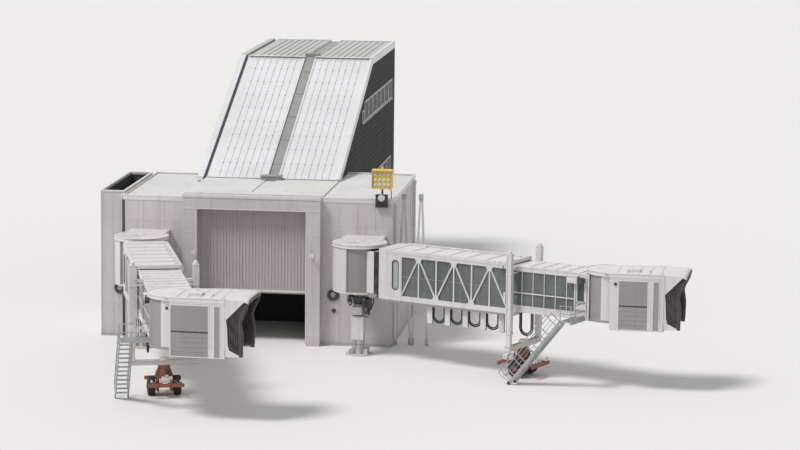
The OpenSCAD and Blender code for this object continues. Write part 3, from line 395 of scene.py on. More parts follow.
NODE_FINISH = {
    "portal_cladding": "ribbed_wall", "portal_frame": "front_panels", "right_wing_walls": "front_panels",
    "left_wing_walls": "front_panels", "screen_tower": "front_panels", "link_left_wall": "grey_panels",
    # the right wall and cross walls take the cladding darkened as painted shade
    "link_right_wall": "dark_cladding", "link_cross_walls": "dark_cladding", "link_floors": "roof_membrane",
    "link_glass": "window_glass", "node_roof": "low_roof", "slope_roof": "roof_sheet", "upper_roof": "roof_membrane",
    "right_wing_roof": "low_roof", "left_wing_roof": "low_roof", "sign": "docking_lamp",
    "drum": "grey_panels", "cab_floor": "grey_panels", "tunnel_a_glass": "tinted_glass",
    "tunnel_b_glass": "tinted_glass", "landing": "galvanised", "stair": "galvanised", "bogie": "red_oxide",
    "canopy": "canopy_fabric", "wheel_1": "rubber", "wheel_2": "rubber",
}

# the material slot listed for each finish, unless a piece names another; done() works it out but gives the piece no
# slot
FINISH_SLOT = {
    "white_paint": "painted_steel", "front_panels": "painted_steel", "galvanised": "galvanised",
    "roof_sheet": "roof_sheet", "gutter_lining": "roof_grey", "low_roof": "roof_grey", "grey_panels": "grey_steel",
    "red_oxide": "bogie_red", "lamp_yellow": "sign_yellow", "canopy_fabric": "bellows",
    "frosted_pane": "tunnel_glass", "window_glass": "tunnel_glass",
}


# ---------------------------------------------------------------- mesh building


def both(value):
    return (-value, value)


def about(middle, half):
    return (middle - half, middle + half)


def steps(low, high, count):
    """Values from low to high, with count equal steps between them."""
    return [low + (high - low) * k / count for k in range(count + 1)]


def every(pitch, low, high):
    """Values from low, one pitch apart, that don't reach high."""
    return [low + pitch * k for k in range(math.ceil((high - low) / pitch))]


def polar(radius, turn):
    """The point (x, y) at this radius and angle."""
    return (radius * math.cos(turn), radius * math.sin(turn))


def turns(count):
    """Equal angles round a circle."""
    return [2 * math.pi * k / count for k in range(count)]


def smooth_line(points, rounds=2):
    """Cuts the corners of a line, with its two ends kept."""
    points = [Vector(p) for p in points]
    for _ in range(rounds):
        cut = [points[0]]
        for p, q in zip(points, points[1:]):
            cut += [p * 0.75 + q * 0.25, p * 0.25 + q * 0.75]
        points = cut + [points[-1]]
    return points


class Pieces:
    """Collects plates, bars, tubes and turned parts in one mesh. Points are in metres, before place moves them."""

    box_faces = ((3, 2, 1, 0), (4, 5, 6, 7), (0, 1, 5, 4), (1, 2, 6, 5), (2, 3, 7, 6), (3, 0, 4, 7))

    def __init__(self, place=None):
        self.mesh, self.place = bmesh.new(), place or Matrix.Identity(4)

    def add(self, points, faces):
        made = [self.mesh.verts.new(self.place @ Vector(p)) for p in points]
        for face in faces:
            self.mesh.faces.new([made[i] for i in face])
        return self

    def box(self, *spans):
        """A box between the two ends of each of three spans, in any order."""
        (a, d), (b, e), (c, f) = (sorted(span) for span in spans)
        return self.add([(x, y, z) for z in (c, f) for x, y in ((a, b), (d, b), (d, e), (a, e))], self.box_faces)

    def block(self, low, high):
        """A box between two opposite corners."""
        return self.box(*zip(low, high))

    def bar(self, start, end, width, depth, up=(0, 0, 1)):
        """A flat bar from start to end; depth runs along up as far as it can."""
        a, b = Vector(start), Vector(end)
        along = (b - a).normalized()
        side = along.cross(Vector(up))
        if side.length < 1e-4:
            side = along.cross(Vector((1, 0, 0)))
        side = side.normalized() * width / 2
        rise = side.cross(along).normalized() * depth / 2
        points = [p + s * side + r * rise for p in (a, b) for s, r in ((-1, -1), (1, -1), (1, 1), (-1, 1))]
        return self.add(points, self.box_faces)

    @staticmethod
    def walls(rings, sides, closed=False):
        """Faces of a tube whose rings have so many points each, with its two ends unless it is closed."""
        spans = rings if closed else rings - 1
        faces = [(i * sides + k, i * sides + (k + 1) % sides,
                  (i + 1) % rings * sides + (k + 1) % sides, (i + 1) % rings * sides + k)
                 for i in range(spans) for k in range(sides)]
        last = (rings - 1) * sides
        return faces if closed else faces + [tuple(range(sides))[::-1], tuple(range(last, last + sides))]

    def turned(self, start, end, profile, sides=24):
        """Turned part: profile holds (distance from start, radius) pairs along the axis."""
        a, axis = Vector(start), (Vector(end) - Vector(start)).normalized()
        side = axis.orthogonal().normalized()
        over = axis.cross(side)
        points = [a + axis * d + (side * math.cos(t) + over * math.sin(t)) * r
                  for d, r in profile for t in turns(sides)]
        return self.add(points, self.walls(len(profile), sides))

    def rod(self, start, end, radius, sides=16):
        return self.turned(start, end, [(0, radius), ((Vector(end) - Vector(start)).length, radius)], sides)

    def tube(self, points, radius, sides=10, closed=False):
        """A round bar or pipe along the points."""
        line = [Vector(p) for p in points]
        count = len(line)
        rings, side = [], None
        for i, p in enumerate(line):
            before = line[i - 1] if i or closed else p
            after = line[(i + 1) % count] if i < count - 1 or closed else p
            way = ((after - p).normalized() + (p - before).normalized()).normalized()
            side = way.orthogonal() if side is None else side - way * side.dot(way)
            side.normalize()
            over = way.cross(side)
            rings += [p + (side * math.cos(t) + over * math.sin(t)) * radius for t in turns(sides)]
        return self.add(rings, self.walls(count, sides, closed))

    def prism(self, low_ring, high_ring):
        return self.add(low_ring + high_ring, self.walls(2, len(low_ring)))

    def plan(self, outline, low, high):
        """An upright block over an outline."""
        return self.prism(*([(x, y, z) for x, y in outline] for z in (low, high)))

    def side_plan(self, outline, near, far):
        """A block over an outline in the u-z plane, from v = near to v = far."""
        return self.prism(*([(u, v, z) for u, z in outline] for v in (near, far)))

    def arc(self, inner, outer, low, high, first, last, step=4.0):
        """Part of a round wall, in degrees."""
        ways = [math.radians(t) for t in steps(first, last, max(2, round(abs(last - first) / step)))]
        ring = [polar(r, t) for r, ts in ((outer, ways), (inner, ways[::-1])) for t in ts]
        return self.plan(ring, low, high)

    def skin(self, rows):
        """A surface through rows of points."""
        wide = len(rows[0])
        faces = [(i * wide + k, i * wide + k + 1, (i + 1) * wide + k + 1, (i + 1) * wide + k)
                 for i in range(len(rows) - 1) for k in range(wide - 1)]
        return self.add([p for row in rows for p in row], faces)

    def bolts(self, places, way, radius=0.012, proud=0.008):
        """Hexagon heads that stand proud along way."""
        head = [(0, radius), (proud * 0.8, radius), (proud, radius * 0.8)]
        for p in places:
            self.turned(p, Vector(p) + Vector(way) * proud, head, 6)
        return self

    def done(self, name, finish, body="gate_building", slot="as the finish", edge=0.0, sharp=32, tidy=True):
        if tidy:
            bmesh.ops.recalc_face_normals(self.mesh, faces=self.mesh.faces)
        data = bpy.data.meshes.new(name)
        self.mesh.to_mesh(data)
        self.mesh.free()
        data.shade_smooth()
        data.set_sharp_from_angle(angle=math.radians(sharp))
        data.materials.append(FINISHES[finish])
        made = bpy.data.objects.new(name, data)
        bpy.context.scene.collection.objects.link(made)
        if edge:
            bevel = made.modifiers.new("rounded_edges", "BEVEL")
            bevel.width, bevel.segments, bevel.limit_method = edge, 1, "ANGLE"
            bevel.angle_limit = math.radians(40)
        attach(made, body)
        slot = FINISH_SLOT.get(finish) if slot == "as the finish" else slot
        return made


def thicken(piece, amount):
    solid = piece.modifiers.new("cloth_thickness", "SOLIDIFY")
    solid.thickness, solid.offset = amount, 0.0


def hang_cable(name, line, radius, body):
    """A cable along the line, hung on a body at both ends."""
    curve = bpy.data.curves.new(name, "CURVE")
    curve.dimensions, curve.bevel_depth, curve.bevel_resolution, curve.use_fill_caps = "3D", radius, 3, True
    spline = curve.splines.new("POLY")
    spline.points.add(len(line) - 1)
    for point, at in zip(spline.points, line):
        point.co = (*at, 1.0)
    cable = bpy.data.objects.new(name, curve)
    bpy.context.scene.collection.objects.link(cable)
    curve.materials.append(FINISHES["rubber"])
    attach(cable, body)
    reach = sum((q - p).length for p, q in zip(line, line[1:]))


def centre_place(side):
    """Place of the fixed pieces round a rotunda."""
    return Matrix.Translation((0.0 if side == "right" else bpy.context.scene.gate_arms.left_x, 0, 0))


def arm_place(side):
    """Place of the pieces on an arm's outer tunnel and its turret."""
    return centre_place(side) @ Matrix.Rotation(getattr(bpy.context.scene.gate_arms, side + "_heading"), 4, "Z")


def inner_place(side):
    """Place of the pieces on an arm's inner tunnel; the left one stands further out at rest."""
    out = bpy.context.scene.gate_arms.left_out if side == "left" else 0.0
    return arm_place(side) @ Matrix.Translation((out, 0, 0))


def cab_place(side):
    arms = bpy.context.scene.gate_arms
    turn = Matrix.Rotation(getattr(arms, side + "_cab_turn"), 4, "Z")
    return inner_place(side) @ Matrix.Translation((arms.cab_u, 0, 0)) @ turn


# ---------------------------------------------------------------- operators


class GateOperator:
    """Shared by the operators: the scene's values under short names."""

    bl_options = {"REGISTER", "UNDO"}

    def execute(self, context):
        scene = context.scene
        self.make(scene.gate_building, scene.gate_arms, scene.gate_paints)
        return {"FINISHED"}


class ArmOperator(GateOperator):
    """Shared by the operators that dress both arms."""

    def make(self, b, a, paints):
        for side in SIDES:
            self.dress(side, b, a)


class GATE_OT_stage(GateOperator, bpy.types.Operator):
    """Studio floor, soft light, pale surround and the camera"""

    bl_idname = "gate.stage"
    bl_label = "Stage, light and camera"

    def make(self, b, a, paints):
        scene = bpy.context.scene
        floor = bpy.data.meshes.new("studio_floor")
        corners = ((-400, -300), (400, -300), (400, 700), (-400, 700))
        floor.from_pydata([(x, y, -0.002) for x, y in corners], [], [(0, 1, 2, 3)])
        look = Finish("studio_floor_paint", Roughness=0.9)
        cloud = look.noise(0.05, 2.0)
        look.feed(look.shader.inputs["Base Color"], look.mix(cloud * 0.2, paints.floor, shade(paints.floor, 0.97)))
        floor.materials.append(look.material)
        ground = bpy.data.objects.new("studio_floor", floor)
        scene.collection.objects.link(ground)

        sun = bpy.data.lights.new("soft_key", "SUN")
        sun.energy, sun.angle = 2.15, math.radians(16)
        key = bpy.data.objects.new("soft_key", sun)
        key.rotation_mode = "QUATERNION"
        key.rotation_quaternion = Vector((-0.62, -0.5, 1.15)).to_track_quat("Z", "Y")
        scene.collection.objects.link(key)

        scene.world = bpy.data.worlds.new("pale_surround")
        scene.world.use_nodes = True
        graph = Graph(scene.world.node_tree)
        rays = graph.nodes.new("ShaderNodeLightPath").outputs
        camera_ray, glossy_ray, clear_ray = (
            Wire(graph, rays["Is %s Ray" % kind]) for kind in ("Camera", "Glossy", "Transmission"))
        seen = camera_ray + glossy_ray + clear_ray
        soft = graph.node("ShaderNodeBackground", sockets={"Color": (0.97, 0.985, 1.0), "Strength": 0.5})
        plain = graph.node("ShaderNodeBackground", sockets={"Color": (1, 1, 1), "Strength": 1.0})
        blend = graph.node("ShaderNodeMixShader", sockets={0: seen > 0.5, 1: soft, 2: plain})
        graph.node("ShaderNodeOutputWorld", sockets={"Surface": blend})

        lens = bpy.data.cameras.new("gate_camera")
        lens.lens, lens.sensor_width, lens.clip_end = 134.0, 36.0, 2000.0
        camera = bpy.data.objects.new("gate_camera", lens)
        camera.location = (12.9, -95.7, 19.45)
        heading, tilt, roll = (math.radians(t) for t in (6.9, 90 - 8.9, 0.63))
        facing = Matrix.Rotation(heading, 3, "Z") @ Matrix.Rotation(tilt, 3, "X") @ Matrix.Rotation(roll, 3, "Z")
        camera.rotation_euler = facing.to_euler()
        scene.collection.objects.link(camera)
        scene.camera = camera
        scene.view_settings.view_transform = "Standard"


class GATE_OT_finishes(GateOperator, bpy.types.Operator):
    """Procedural finishes, put on every node that comes from the frame"""

    bl_idname = "gate.finishes"
    bl_label = "Finishes of the frame"

    def make(self, b, a, paints):
        FINISHES.update(make_finishes(paints))
        for name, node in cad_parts.items():
            plain = name.split("_", 1)[1] if name.startswith(("right_", "left_")) else name
            finish = NODE_FINISH.get(name) or NODE_FINISH.get(plain, "white_paint")
            if not node.material_slots:
                node.data.materials.append(None)
            for entry in node.material_slots:
                entry.material = FINISHES[finish]


class GATE_OT_portal(GateOperator, bpy.types.Operator):
    """Flashings, joints, the bay's door housing and the lamps of the portal"""

    bl_idname = "gate.portal"
    bl_label = "Portal trim"

    def make(self, b, a, paints):
        x0, x1, y, top = b.link_x0, b.link_x1, b.face_y, b.portal_top
        low, left, right = top - b.pillar, x0 + b.pillar, x1 - b.pillar
        trim = Pieces()
        trim.box((x0 - 0.015, x1 + 0.015), (y - 0.02, y + 0.05), (top - 0.07, top + 0.03))
        trim.box((x0 + 0.001, x1 - 0.001), (y - 0.012, y), (low, low + 0.03))
        for x in steps(x0, x1, 5)[1:-1]:
            trim.box(about(x, 0.009), (y - 0.007, y), (low + 0.03, top - 0.07))
        for x, outer in ((left, x0), (right, x1)):
            trim.box(about(x, 0.02), (y - 0.01, y), (0.05, low))
            for z in (1.25, 2.5, 3.75):
                trim.box((x, outer), (y - 0.006, y), about(z, 0.008))
        trim.box((left, right), (b.clad_y - 0.03, b.clad_y + 0.07), (b.bay_top - 0.02, b.bay_top + 0.05))
        trim.box((left, right), (b.clad_y - 0.028, b.clad_y - 0.001), (low - 0.05, low))
        trim.done("portal_flashings", "white_paint", edge=0.004)

        door = Pieces()
        start, end, axle_y, axle_z, wide = left + 0.01, right - 0.01, y + 0.62, 1.93, right - left - 0.22
        drum = [(0, 0.11), (0.02, 0.14), (wide - 0.02, 0.14), (wide, 0.11)]
        door.turned((start + 0.1, axle_y, axle_z), (end - 0.1, axle_y, axle_z), drum, 40)
        for out_y, out_z in (polar(1, t) for t in turns(18)):
            at = (axle_y + 0.141 * out_y, axle_z + 0.141 * out_z)
            door.bar((start + 0.12, *at), (end - 0.12, *at), 0.02, 0.006, (0, out_y, out_z))
        for x in (start, end - 0.07):
            for near, far in ((0.46, 0.5), (0.54, 0.58)):
                door.box((x, x + 0.07), (y + near, y + far), (0.0, 1.75))
            door.box((x, x + 0.012), (y + 0.5, y + 0.54), (0.0, 1.75))
            door.box((x, x + 0.07), (y + 0.46, y + 0.78), (1.74, 2.08))
        door.box((start + 0.05, end - 0.05), (y + 0.505, y + 0.535), (1.66, 1.74))
        door.done("bay_shutter", "galvanised", edge=0.003)

        lamps, z = Pieces(), 2.95
        for x in (-5.7, -1.72):
            lamps.box(about(x, 0.03), (y - 0.03, y), about(z, 0.06))
            lamps.tube([(x, y - 0.02, z), (x, y - 0.12, z + 0.03), (x, y - 0.2, z + 0.1)], 0.014)
            hood = [(x - 0.09, z + 0.1), (x + 0.09, z + 0.1), (x + 0.07, z + 0.2), (x - 0.07, z + 0.2)]
            lamps.side_plan(hood, y - 0.3, y - 0.16)
        lamps.done("portal_floodlights", "white_paint", edge=0.004)

        ports, hubs = Pieces(), Pieces()
        ring = [(0, 0.2), (0.045, 0.2), (0.06, 0.18), (0.06, 0.14), (0.02, 0.08)]
        hub = [(0, 0.09), (0.06, 0.09), (0.075, 0.07), (0.075, 0.03), (0.068, 0.02)]
        for x, wall, z in ((-1.06, b.wing_y, 1.72), (-8.4, b.tower_y0, 1.66), (-6.5, b.wing_y, 1.2)):
            ports.turned((x, wall, z), (x, wall - 0.06, z), ring, 40)
            hubs.turned((x, wall, z), (x, wall - 0.075, z), hub, 32)
        small_ring = [(0, 0.07), (0.03, 0.07), (0.04, 0.055), (0.02, 0.03)]
        ports.turned((-1.03, b.wing_y, 1.18), (-1.03, b.wing_y - 0.04, 1.18), small_ring, 24)
        ports.done("wall_ports", "dark_steel")
        hubs.done("wall_port_hubs", "grey_panels", slot="painted_steel")


class GATE_OT_link(GateOperator, bpy.types.Operator):
    """Window frames, cover strips and the open end's edges of the covered link"""

    bl_idname = "gate.link"
    bl_label = "Link walls"

    def make(self, b, a, paints):
        y, walls = b.face_y, ((b.link_x0, -1), (b.link_x1, 1))
        windows = [(y + 12.8 + i * 1.2, y + 13.9 + i * 1.2, 3.0, 4.0) for i in range(5)]
        windows += [(y + 9.8 + i * 1.15, y + 10.85 + i * 1.15, 6.3, 7.0) for i in range(8)]
        windows[5] = (y + 9.8 + 0.45 * 1.15, y + 10.85, 6.3, 6.7)  # small, because the roof slopes over it
        frames = Pieces()
        for x, way in walls:
            deep = (x - way * 0.06, x + way * 0.012)
            for y0, y1, z0, z1 in windows:
                for upright in ((y0 - 0.03, y0 + 0.035), (y1 - 0.035, y1 + 0.03)):
                    frames.box(deep, upright, (z0 - 0.03, z1 + 0.03))
                for across in ((z1 - 0.035, z1 + 0.03), (z0 - 0.03, z0 + 0.035)):
                    frames.box(deep, (y0, y1), across)
                frames.box(deep, about((y0 + y1) / 2, 0.015), (z0, z1))
                frames.box((x, x + way * 0.04), (y0 - 0.05, y1 + 0.05), (z0 - 0.055, z0 - 0.03))
        frames.done("link_window_frames", "galvanised")

        slope = (b.link_top - b.portal_top) / (b.top_y - b.foot_y)
        # the right side's strips take the cladding darkened as painted shade
        for x, way, side, finish, wing_end in ((b.link_x1, 1, "right", "dark_cladding", b.right_wing_back + 0.02),
                                               (b.link_x0, -1, "left", "grey_panels", b.left_wing_back + 0.02)):
            strips = Pieces()
            for z in every(0.18, 0.3, b.link_top - 0.3):
                if any(z0 - 0.05 < z < z1 + 0.05 for _, _, z0, z1 in windows):
                    continue
                start = wing_end if z < 5 else b.foot_y + (z + 0.2 - b.portal_top) / slope
                stop = b.under_y if z < b.under_top else b.end_y
                strips.box((x, x + way * 0.012), (start, stop), about(z, 0.011))
            strips.done("link_strips_" + side, finish, slot=None)

        edges = Pieces()
        for x, way in walls:
            edges.box(about(x, 0.02), (b.end_y - 0.03, b.end_y + 0.012), (b.under_top, b.link_top - 0.1))
            edges.box(about(x, 0.02), (b.under_y - 0.01, b.end_y), (b.under_top - 0.03, b.under_top + 0.02))
        edges.box((b.link_x0, b.link_x1), (b.end_y - 0.02, b.end_y + 0.012), (2.5, 2.6))
        edges.done("link_end_edges", "white_paint", edge=0.003)


class GATE_OT_roofs(GateOperator, bpy.types.Operator):
    """Ridge and eaves flashings, clips, gutter outlets and verge caps"""

    bl_idname = "gate.roofs"
    bl_label = "Roof trim"

    def make(self, b, a, paints):
        x0, x1, low, high = b.link_x0, b.link_x1, b.portal_top, b.link_top
        mid, half = (x0 + x1) / 2, b.gutter / 2
        start, foot = Vector((0, b.clad_y + 0.66, low)), Vector((0, b.foot_y, low))
        head, end = Vector((0, b.top_y, high)), Vector((0, b.end_y, high))
        rise = head - foot

        def along(piece, stops, shift, width, depth):
            for p, q in zip(stops, stops[1:]):
                piece.bar(p + Vector(shift), q + Vector(shift), width, depth)

        caps = Pieces()
        for near, far in ((x0, mid - half), (mid + half, x1)):
            for point, lift in ((foot, 0.026), (head, 0.03)):
                caps.bar((near, point.y - 0.06, point.z + lift), (far, point.y - 0.06, point.z + lift), 0.16, 0.012)
            caps.box((near, far), (b.end_y - 0.08, b.end_y + 0.012), (high, high + 0.04))
        along(caps, (foot, head, end), (x1 - 0.03, 0, 0.035), 0.1, 0.05)
        along(caps, (foot, head), (x1 + 0.012, 0, -0.1), 0.024, 0.26)
        caps.box((x1, x1 + 0.024), (b.top_y, b.end_y), (high - 0.22, high + 0.02))
        for x in about(mid, half + 0.02):
            along(caps, (foot, head), (x, 0, 0.02), 0.05, 0.03)
        caps.done("roof_flashings", "roof_sheet", edge=0.004)

        for name, finish, stops in (("gutter_lining", "gutter_lining", (foot, head, end)),
                                    ("low_gutter_lining", "low_roof", (start, foot))):
            lining = Pieces()
            along(lining, stops, (mid, 0, -0.035), b.gutter - 0.004, 0.006)
            lining.done(name, finish)
        # dark lining in the sunk channel beside the raised verge: painted shadow of the verge on the roof
        channel = Pieces()
        stops = (foot - Vector((0, 0.2, 0)), foot, head, end)
        along(channel, stops, (x0 - b.channel / 2, 0, -0.056), b.channel - 0.004, 0.008)
        channel.done("side_channel", "dark_steel")

        clips, clip = Pieces(), rise.normalized() * 0.03
        for way in (-1, 1):
            for i in range(int((x1 - x0 - b.gutter) / 2 / b.seam_pitch)):
                x = mid + way * (half + 0.06 + i * b.seam_pitch)
                for k in range(1, 9):
                    p = foot + rise * k / 9 + Vector((x, 0, 0.018))
                    clips.bar(p - clip, p + clip, 0.034, 0.024)
        clips.done("seam_clips", "galvanised")

        outlets, y = Pieces(), b.foot_y
        outlets.box(about(mid, 0.35), (y - 0.42, y - 0.05), (low - 0.03, low + 0.13))
        outlets.box(about(mid, 0.38), (y - 0.45, y - 0.02), (low + 0.13, low + 0.15))
        for k in range(9):
            outlets.box(about(mid - 0.26 + k * 0.065, 0.01), (y - 0.43, y - 0.42), (low + 0.02, low + 0.1))
        for k in range(5):
            p = foot + rise * (0.12 + 0.19 * k)
            outlets.bar(p + Vector((mid - half, 0, -0.03)), p + Vector((mid + half, 0, -0.03)), 0.05, 0.02)
        outlets.box(about(mid, 0.25), (b.top_y + 0.35, b.top_y + 0.75), (high - 0.04, high + 0.1))
        outlets.done("gutter_outlets", "gutter_lining", edge=0.004)

        rims = Pieces()
        for inner, outer, top, back, lap in ((x1, b.wing_x1, b.right_wing_top, b.right_wing_back, 0.018),
                                             (x0, b.wing_x0, b.left_wing_top, b.left_wing_back, 0.05)):
            rims.box((inner, outer), (b.wing_y - 0.018, b.wing_y + 0.06), (top + 0.02, top + 0.055))
            rims.box((inner, outer), (b.wing_y - 0.014, b.wing_y), (top - 0.11, top + 0.02))
            rims.box((inner, outer), (back - 0.06, back + 0.018), (top + 0.02, top + 0.055))
            rims.box((outer - 0.05, outer + lap), (b.wing_y, back), (top - 0.11, top + 0.055))
        west, east, front, back = b.tower_x0, b.tower_x1, b.tower_y0, b.tower_y1
        cap = (b.tower_top, b.tower_top + 0.055)
        for span in ((front - 0.018, front + 0.05), (back - 0.05, back + 0.018)):
            rims.box((west - 0.018, east + 0.018), span, cap)
        for span in ((west - 0.018, west + 0.05), (east - 0.05, east + 0.018)):
            rims.box(span, (front + 0.05, back - 0.05), cap)
        rims.box((x0, x1), (b.clad_y, b.clad_y + 0.12), (low, low + 0.035))
        rims.done("parapet_caps", "white_paint", edge=0.004)

        # a dark joint strip where the tower meets the wing, dark as painted shade of the tower's shaded side
        joint_and_shade = Pieces()
        joint_and_shade.box((b.wing_x0 - 0.012, b.wing_x0 + 0.075), (b.wing_y - 0.012, b.wing_y + 0.02),
                  (0.1, b.left_wing_top + 0.02))
        joint_and_shade.done("tower_joint", "dark_steel")

        # dark sheets on the inner faces and floor of the open screen tower: painted shade of its interior
        shade_lining, tall = Pieces(), (0.07, b.tower_top - 0.03)
        west, east, front, back = west + 0.06, east - 0.06, front + 0.06, back - 0.06
        shade_lining.box((west, east), (front, back), (0.061, 0.07))
        for span in ((front + 0.001, front + 0.007), (back - 0.007, back - 0.001)):
            shade_lining.box((west, east), span, tall)
        for span in ((west + 0.001, west + 0.007), (east - 0.007, east - 0.001)):
            shade_lining.box(span, (front + 0.007, back - 0.007), tall)
        shade_lining.done("tower_lining", "dark_steel")


class GATE_OT_wings(GateOperator, bpy.types.Operator):
    """Cover strips, rainwater pipes and plinths of the wings and the screen tower"""

    bl_idname = "gate.wings"
    bl_label = "Wing walls"

    def make(self, b, a, paints):
        half, joints = 0.014, (1.1, 2.08, 4.05)
        right_top, left_top, tower_top = b.right_wing_top - 0.12, b.left_wing_top - 0.12, b.tower_top - 0.01

        def ribs(low, high, count=None):
            """Middles of the cover strips between two edges of a wall, the outer ones clear of the edges."""
            count = count or max(2, round((high - low) / b.strip_pitch))
            return [min(max(x, low + half), high - half) for x in steps(low, high, count)]

        strips = Pieces()
        for low, high, y, top, door in ((b.link_x1, b.wing_x1, b.wing_y, right_top, both(0.73)),
                                        (b.wing_x0, b.link_x0, b.wing_y, left_top, about(a.left_x, 0.73)),
                                        (b.tower_x0, b.tower_x1, b.tower_y0, tower_top, (0, 0))):
            for x in ribs(low, high):
                for span in ((0.1, 2.13), (3.85, top)) if door[0] < x < door[1] else ((0.1, top),):
                    strips.box(about(x, half), (y - 0.008, y), span)
            for z in joints:
                strips.box((low, high), (y - 0.006, y), about(z, 0.01))
        for x, way, y0, y1, top in ((b.wing_x1, 1, b.wing_y, b.right_wing_back, right_top),
                                    (b.tower_x0, -1, b.tower_y0, b.tower_y1, tower_top)):
            for y in ribs(y0, y1):
                strips.box((x, x + way * 0.008), about(y, half), (0.1, top))
            for z in joints:
                strips.box((x, x + way * 0.008), (y0, y1), about(z, 0.01))
        for low, high, y, top in ((b.link_x1, b.wing_x1, b.right_wing_back, right_top),
                                  (b.wing_x0, b.link_x0, b.left_wing_back, left_top)):
            for x in ribs(low, high, 4):
                strips.box(about(x, half), (y, y + 0.008), (0.1, top))
        strips.done("wing_cover_strips", "front_panels")

        plinth, thick = Pieces(), 0.015
        for xs, ys in (((b.link_x1, b.wing_x1 + thick), (b.wing_y - thick, b.wing_y)),
                       ((b.wing_x1, b.wing_x1 + thick), (b.wing_y, b.right_wing_back)),
                       ((b.wing_x0, b.link_x0), (b.wing_y - thick, b.wing_y)),
                       ((b.tower_x0 - thick, b.tower_x1), (b.tower_y0 - thick, b.tower_y0)),
                       ((b.tower_x0 - thick, b.tower_x0), (b.tower_y0, b.tower_y1))):
            plinth.box(xs, ys, (0.0, 0.1))
        plinth.done("wall_plinths", "galvanised")

        pipes, x, top = Pieces(), b.wing_x1 + 0.07, 4.75
        for y in (6.9, 1.5):
            line = ((x - 0.04, top + 0.04), (x, top), (x, 0.35), (x + 0.02, 0.25), (x + 0.1, 0.18))
            pipes.tube([(at, y, z) for at, z in line], 0.045, 14)
            pipes.box((x - 0.07, x + 0.05), about(y, 0.09), (top, top + 0.12))
            for z in (0.9, 2.1, 3.3, 4.4):
                pipes.rod((x, y, z - 0.02), (x, y, z + 0.02), 0.055, 14)
                pipes.box((x - 0.07, x), about(y, 0.012), about(z, 0.015))
        pipes.done("rain_pipes", "white_paint")

        feet, legs, y = Pieces(), Pieces(), b.mast_y
        for x in (b.wing_x1 + 0.31, b.wing_x1 + 0.31 + b.mast_gap):
            for s in both(0.25):
                inner = x + s - math.copysign(0.05, s)
                feet.bolts([(x + s + d, y + e, 0.03) for d in both(0.04) for e in both(0.04)], (0, 0, 1), 0.014, 0.02)
                feet.bar((inner, y - 0.025, 0.03), (x + s * 0.86, y - 0.025, 0.25), 0.012, 0.05, (1, 0, 0))
                legs.bar((x + s, y, 0.06), (x + s * 0.1, y, 5.07), 0.074, 0.056, (0, 1, 0))
            feet.box(about(x, 0.08), (y - 0.06, y - 0.03), (4.95, 5.12))
            feet.bolts([(x + d, y - 0.06, z) for d in both(0.05) for z in (5.0, 5.07)], (0, -1, 0), 0.012, 0.01)
            feet.tube([(x - 0.13, y, 2.5), (x + 0.13, y, 2.5)], 0.016)
        feet.done("mast_fittings", "galvanised")
        legs.done("mast_sleeves", "white_paint", edge=0.006)


class GATE_OT_docking_lamp(GateOperator, bpy.types.Operator):
    """Visor, lamp rows and cable of the docking lamp over the right wing"""

    bl_idname = "gate.docking_lamp"
    bl_label = "Docking lamp"

    def make(self, b, a, paints):
        x, z, y = b.wing_x1 - 0.375, b.right_wing_top + 0.4, b.wing_y - 0.04
        hood = Pieces()
        hood.box(about(x, 0.34), (y - 0.1, y + 0.25), (z + 0.6, z + 0.635))
        for s in both(0.33):
            hood.box(about(x + s, 0.012), (y - 0.07, y + 0.24), (z + 0.03, z + 0.6))
        hood.box(about(x, 0.33), (y - 0.015, y), (z, z + 0.04))
        hood.done("docking_lamp_hood", "lamp_yellow", edge=0.005)

        rows, small = Pieces(), [(0, 0.055), (0.018, 0.055), (0.03, 0.03), (0.032, 0.004)]
        for u in (x - 0.22 + i * 0.147 for i in range(4)):
            for w in (z + 0.13 + k * 0.17 for k in range(3)):
                rows.turned((u, y - 0.001, w), (u, y - 0.031, w), small, 24)
        large = [(0, 0.12), (0.02, 0.12), (0.034, 0.08), (0.04, 0.01)]
        rows.turned((x, y - 0.09, 5.06), (x, y - 0.13, 5.06), large, 32)
        rows.done("docking_lamp_lenses", "lamp_glass")

        box = Pieces()
        box.box(about(x, 0.215), (y - 0.105, y - 0.085), (4.735, 4.76))
        box.box(about(x, 0.215), (y - 0.12, y + 0.04), (5.145, 5.165))
        for low in (4.78 + k * 0.022 for k in range(7)):
            box.box(about(x, 0.17), (y - 0.1, y - 0.088), (low, low + 0.008))
        box.tube([(x + 0.18, y + 0.1, z + 0.1), (x + 0.3, y + 0.14, z - 0.1),
                  (x + 0.3, y + 0.14, b.right_wing_top + 0.01)], 0.014)
        box.done("docking_box_trim", "dark_steel")


